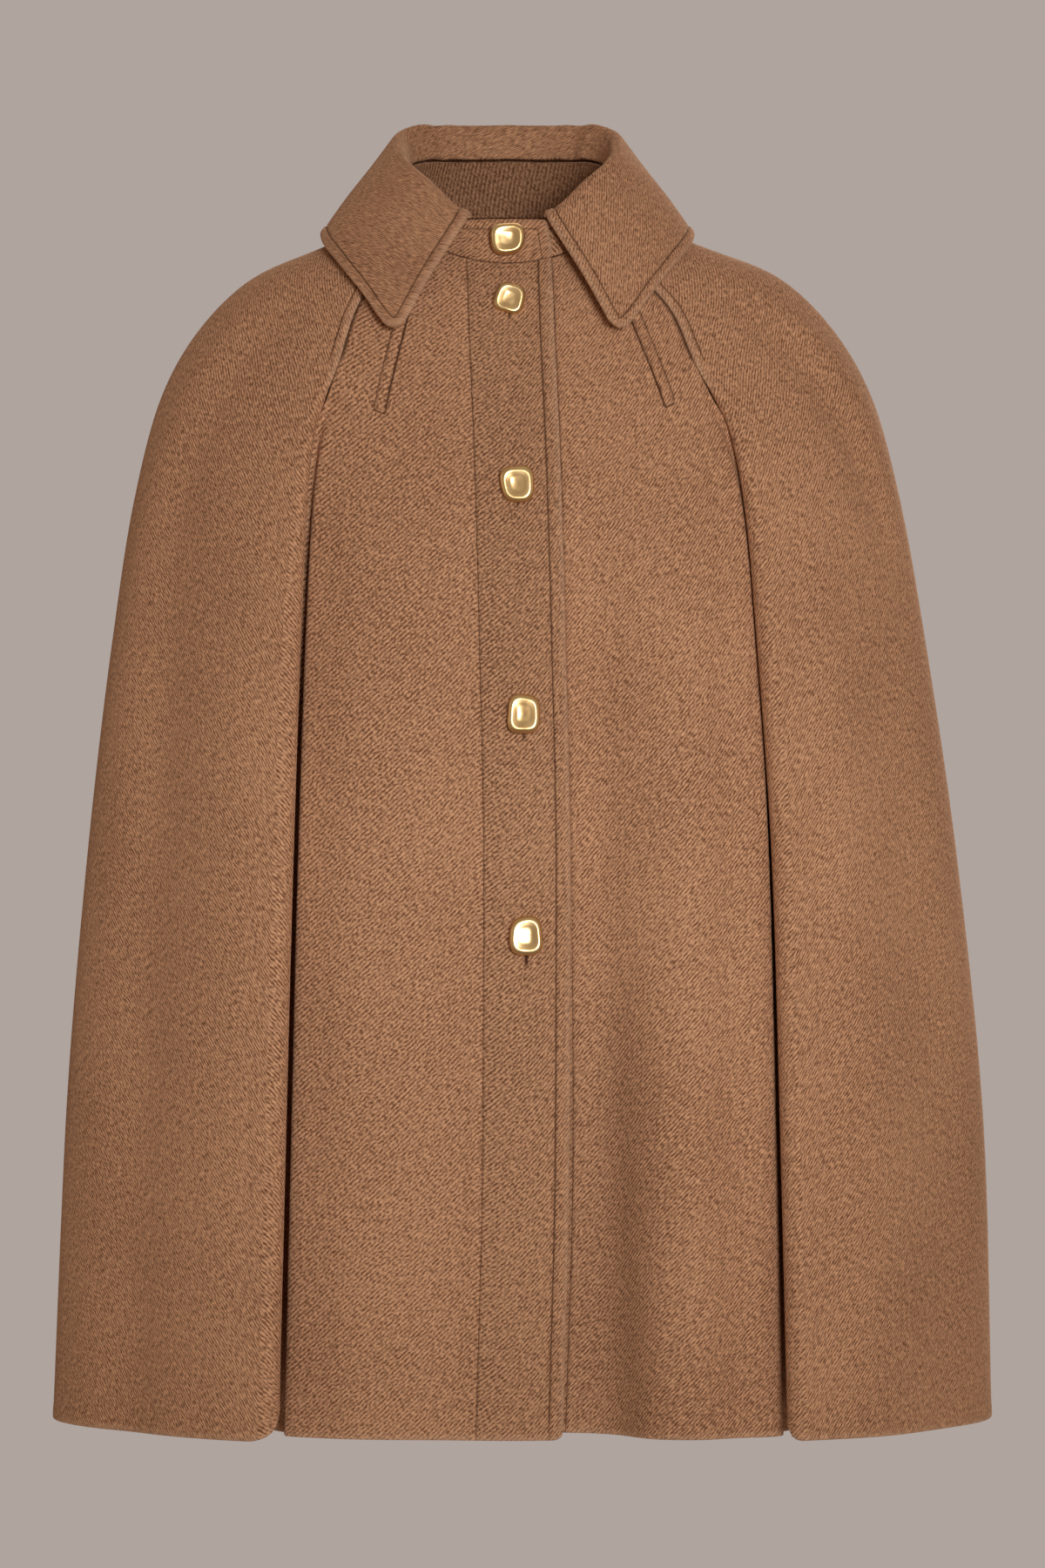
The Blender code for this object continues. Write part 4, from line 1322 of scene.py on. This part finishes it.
@dataclass
class Collar:
    """The stand sewn to the neck, and the leaf that turns down over it."""

    form: CollarForm
    twill: bpy.types.Material
    stand_thickness: float = 3.0
    leaf_thickness: float = 3.4
    stitch_in: float = 7.0           # topstitching from the free edges
    stitch_from: float = 9.0         # it starts this far below the leaf's inner seam
    wrinkles: tuple[tuple[float, float, float], ...] = (     # angle and spread in degrees, and height
        (128.0, 3.0, 0.9), (137.0, 3.4, -0.8), (146.0, 3.0, 0.6),
        (214.0, 3.2, 0.6), (223.0, 3.4, -0.9), (231.0, 3.0, 0.8),
    )

    def build(self, stitching: Stitching) -> None:
        """Builds both pieces, and adds the leaf's topstitching."""
        ends = edge_lines(16.0, self.stitch_in)
        self._build_stand(ends)
        self._build_leaf(ends, stitching)

    def _build_stand(self, ends: Sequence[float]) -> None:
        """Builds the stand; its inner face, which lies in the collar's shade, gets painted shade."""
        end = self.form.stand_end
        rows = Span(0.0, 1.0, edge_lines(2.0), edge_lines(8.5, 6.2), 10)
        stand = Cloth.lay_out(self.form.stand, [Span(-end, 360.0 + end, ends, ends, 190)], rows, 1,
                              Corners(start_hem=6.0, end_hem=6.0))
        stand.raise_up(np.zeros_like(stand.u))
        nearest = np.minimum(stand.from_end, stand.from_hem + 0.8)
        face = topstitched(nearest, self.stitch_in, 0.7, 0.4)
        piece = stand.shell("collar_stand_band", self.stand_thickness, face, stand.from_start,
                            (Edge.TOP, Edge.HEM), rim=0.9, painted_inner_shade=0.45)
        dress(piece, self.twill, Slot.CLOTH, "collar_stand")

    def _build_leaf(self, ends: Sequence[float], stitching: Stitching) -> None:
        """Builds the leaf, with its topstitching."""
        start = self.form.leaf_start
        rows = Span(0.0, 1.0, edge_lines(3.0), edge_lines(16.0, self.stitch_in), 44)
        leaf = Cloth.lay_out(self.form.leaf, [Span(start, 360.0 - start, ends, ends, 210)], rows, -1,
                             Corners(start_hem=15.0, end_hem=15.0))
        leaf.raise_up(self._wrinkles(leaf))
        nearest = np.minimum.reduce([leaf.from_start, leaf.from_end, leaf.from_hem])
        face = topstitched(nearest, self.stitch_in, 0.9, 0.8)
        piece = leaf.shell("collar_leaf_cloth", self.leaf_thickness, face, leaf.from_start, (Edge.TOP,))
        dress(piece, self.twill, Slot.CLOTH, "collar_leaf")
        self._topstitch(leaf, stitching)

    def _wrinkles(self, leaf: Cloth) -> Array:
        """Small upright wrinkles inside the back corners: humps that die away from the leaf's inner seam."""
        low = 1.0 - smooth((leaf.s - 0.1) / 0.3)
        return low * sum(height * hump(leaf.u, angle, spread) for angle, spread, height in self.wrinkles)

    def _topstitch(self, leaf: Cloth, stitching: Stitching) -> None:
        """Runs the stitches down one front edge, round the outer edge and up the other."""
        total = leaf.from_top + leaf.from_hem
        wide = leaf.from_start[-1] + leaf.from_end[-1]
        low = float(total[0, 0]) - self.stitch_in
        stitching.add(*leaf.trace(self.stitch_in, self.stitch_from, low))
        up, up_normal = leaf.trace(wide - self.stitch_in, self.stitch_from, low)
        stitching.add(up[::-1], up_normal[::-1])
        column = (leaf.from_start[:, -1] >= self.stitch_in) & (leaf.from_end[:, -1] >= self.stitch_in)
        wanted = (total[:, -1] - self.stitch_in)[None, :]
        stitching.add(*(resample(leaf.from_top.T, wanted, np.swapaxes(value, 0, 1))[0][column]
                        for value in (leaf.outer, leaf.normal)))


class Nugget(NamedTuple):
    """One cast button: its size, its turn and how its outline and face depart from a rounded square."""

    width: float
    height: float
    turn: float            # degrees
    square: float          # exponent of the outline, 2 for an ellipse
    lean: float            # how much narrower it is at the top than at the bottom
    phase: float           # where its uneven outline and dents start


@dataclass
class Buttons:
    """Five cast nuggets: each a rounded, uneven square with a thick bright rim and a shallow dish."""

    gold: bpy.types.Material
    depth: float = 7.5
    ahead: float = 0.6               # how far the back stands in front of the solid's back
    tilt: float = 0.09               # slope of the face: the button hangs from its shank
    rings: int = 44
    sides: int = 72
    profile: tuple[tuple[float, float], ...] = (     # shares of the half width and the depth, from the back
        (0.02, 0.0), (0.55, 0.0), (0.84, 0.08), (0.985, 0.34), (0.97, 0.66), (0.86, 0.93),
        (0.73, 1.0), (0.56, 0.955), (0.34, 0.885), (0.02, 0.86),
    )
    shapes: tuple[Nugget, ...] = (
        Nugget(21.4, 20.2, 3.0, 3.0, -0.04, 0.4),
        Nugget(18.6, 19.6, -17.0, 3.2, 0.02, 1.7),
        Nugget(20.8, 23.0, 4.0, 3.0, -0.05, 2.9),
        Nugget(20.4, 24.0, -3.0, 3.4, 0.03, 4.1),
        Nugget(20.8, 24.0, 2.0, 3.0, 0.07, 5.3),
    )

    def build(self) -> None:
        """Builds each button in the place of its solid."""
        for number, shape in enumerate(self.shapes, 1):
            low, high = box_of(f"button_{number}")
            piece = self._nugget(f"gold_button_{number}", shape, 0.5 * (low + high), high[1])
            dress(piece, self.gold, Slot.METAL, f"button_{number}")

    def _nugget(self, name: str, shape: Nugget, middle: Array, back_y: float) -> bpy.types.Object:
        """Makes a nugget from its back's middle, round its edge and over its rim to the dish.

        The outline is a superellipse with a slow wave; the profile is a smooth curve through a few rows of
        share of the width and height above the back; shallow dents pull the dish off centre.

        Args:
            name: the object's name.
            shape: the nugget's own sizes.
            middle: the middle of its solid.
            back_y: how far back the solid reaches.

        Returns:
            The object.
        """
        along = np.linspace(0, 1, self.rings)
        share, height = monotone(self.profile, np.linspace(0, 1, len(self.profile)), along).T[..., None]
        turn = np.linspace(0, 2 * math.pi, self.sides, endpoint=False)[None, :]
        cosine, sine = np.cos(turn), np.sin(turn)
        outline = (np.abs(cosine) ** shape.square + np.abs(sine) ** shape.square) ** (-1 / shape.square)
        outline *= 1 + 0.022 * np.sin(2 * turn + shape.phase) + 0.02 * np.sin(3 * turn + 2 * shape.phase)
        x = 0.5 * shape.width * share * outline * cosine
        z = 0.5 * shape.height * share * outline * sine
        x = x * (1 - shape.lean * 2 * z / shape.height)
        front = smooth((height - 0.7) / 0.2) * (along[:, None] > 0.45)
        dent = 0.55 * hump(x, 3.0 * math.cos(shape.phase), 4.0) * hump(z, 3.0 * math.sin(shape.phase), 6.0)
        swell = 0.4 * hump(x, -4.5 * math.cos(shape.phase), 3.5) * hump(z, -2.0 * math.sin(shape.phase), 7.0)
        out = height * self.depth + (swell - dent) * front
        angle = math.radians(shape.turn)
        x, z = x * math.cos(angle) - z * math.sin(angle), x * math.sin(angle) + z * math.cos(angle)
        points = joined(middle[0] + x, back_y - self.ahead - out + self.tilt * z, middle[2] + z)
        faces = [flipped(rows) for rows in tube_faces(self.rings, self.sides)]
        tips = points[[0, -1]].mean(axis=1)
        return new_piece(name, np.concatenate([points.reshape(-1, 3), tips]), *faces)


class SoftBox(NamedTuple):
    """A square soft box that faces the cape."""

    name: str
    place: tuple[float, float, float]      # its middle, in metres
    size: float                            # its side, in metres
    power: float                           # in watts
    colour: tuple[float, float, float]
    aim: float = 0.0                       # x of the point that it faces, halfway down the cape
    spread: float = 180.0                  # of its beam, in degrees; a grid on the box narrows it


COOL = (1.0, 0.975, 0.95)              # the key's light,
WARM = (1.0, 0.86, 0.74)               # and light that has bounced off warm surroundings


@dataclass
class Studio:
    """Plain pale floor, soft light and the camera."""

    backdrop: str = "#AFA49E"        # what the eye sees behind the cape
    bounce: str = "#CDA88C"          # dim light from all round,
    bounce_strength: float = 0.28
    cards: str = "#F6E6D2"           # and what the gold mirrors
    cards_strength: float = 0.42
    floor_z: float = -1.40           # where the floor is under a cape that a wearer holds up
    floor_radius: float = 4.1
    middle_z: float = -0.35          # the height that every soft box faces
    lens: float = 145.45             # the camera's focal length, in millimetres,
    sensor: float = 36.0             # and its sensor's width
    camera_place: tuple[float, float, float] = (0.0, -4.0, -0.3465)
    boxes: tuple[SoftBox, ...] = (
        SoftBox("key", (0.8, -3.92, 0.0), 1.0, 2.9, COOL, -0.01, 27.0),
        SoftBox("left_side", (-3.2, 0.5, 0.2), 1.6, 9.5, WARM),
        SoftBox("right_side", (3.2, 0.3, 0.2), 1.6, 3.0, WARM),
        SoftBox("top", (0.2, 1.4, 2.3), 2.0, 9.0, WARM),
        SoftBox("back", (1.2, 3.4, 1.4), 2.2, 46.0, WARM),
    )

    def build(self) -> None:
        """Builds the floor, the lights, the backdrop and the camera."""
        turn = np.linspace(0, 2 * math.pi, 96, endpoint=False)
        disc = joined(self.floor_radius * np.cos(turn), self.floor_radius * np.sin(turn), self.floor_z) / MM
        floor = new_piece("floor", disc, np.arange(len(turn))[None, :])
        floor.data.materials.append(PaperFloor().make())
        for box in self.boxes:
            self._light(box)
        self._world()
        self._camera()

    def _camera(self) -> None:
        """Adds the camera, level and straight in front."""
        camera = bpy.data.cameras.new("camera")
        camera.lens = self.lens
        camera.sensor_width = self.sensor
        view = bpy.data.objects.new("camera", camera)
        view.location = self.camera_place
        view.rotation_euler = (math.pi / 2, 0.0, 0.0)
        bpy.context.scene.collection.objects.link(view)
        bpy.context.scene.camera = view
        bpy.context.scene.view_settings.view_transform = "Standard"

    def _light(self, box: SoftBox) -> None:
        """Adds a soft box, turned to the cape's middle."""
        light = bpy.data.lights.new(box.name, "AREA")
        light.size = box.size
        light.energy = box.power
        light.spread = math.radians(box.spread)
        light.color = box.colour
        made = bpy.data.objects.new(box.name, light)
        made.location = box.place
        to_cape = Vector((box.aim, 0, self.middle_z)) - Vector(box.place)
        made.rotation_euler = to_cape.to_track_quat("-Z", "Y").to_euler()
        bpy.context.scene.collection.objects.link(made)

    def _world(self) -> None:
        """A plain backdrop for the eye, dim warm light for the cloth, and brighter cards for the gold."""
        world = bpy.data.worlds.new("studio")
        world.use_nodes = True
        tree = world.node_tree
        tree.nodes.clear()
        seen = add_node(tree, "LightPath")
        glows = ((self.backdrop, 1.0), (self.bounce, self.bounce_strength), (self.cards, self.cards_strength))
        plain, dim, cards = (add_node(tree, "Background", {"Color": linear(colour), "Strength": strength})
                             for colour, strength in glows)
        mirrored = add_node(tree, "MixShader", {0: (seen, "Is Glossy Ray"), 1: dim, 2: cards})
        mixed = add_node(tree, "MixShader", {0: (seen, "Is Camera Ray"), 1: mirrored, 2: plain})
        add_node(tree, "OutputWorld", {"Surface": mixed})
        bpy.context.scene.world = world


def main() -> None:
    """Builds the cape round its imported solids, with its light and camera."""
    logging.basicConfig(level=logging.INFO, format="%(name)s: %(message)s")
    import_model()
    Studio().build()
    form = CapeForm()
    rising = CamelTwill("camel_wool_twill").make()
    falling = CamelTwill("camel_wool_twill_reversed", lean=-1).make()
    # A slightly darker copy of the twill for the plackets: painted shade on the band.
    pressed = CamelTwill("camel_wool_shaded_band", light="#D7A781", dark="#704A33").make()
    collar_twill = CamelTwill("camel_wool_collar").make()
    thread = CamelThread().make()
    stitching = Stitching("topstitching")
    places = [0.5 * sum(box_of(f"button_{number}")) for number in range(2, 6)]
    Plackets(form, pressed).build([(place[0], place[2]) for place in places], stitching)
    Fronts(form, rising).build(stitching)
    Sides(form, {Side.RIGHT: falling, Side.LEFT: rising}).build(stitching)
    Back(form, rising).build()
    Collar(CollarForm(), collar_twill).build(stitching)
    stitching.make(thread)
    Buttons(CastGold().make()).build()


if __name__ == "__main__":
    main()
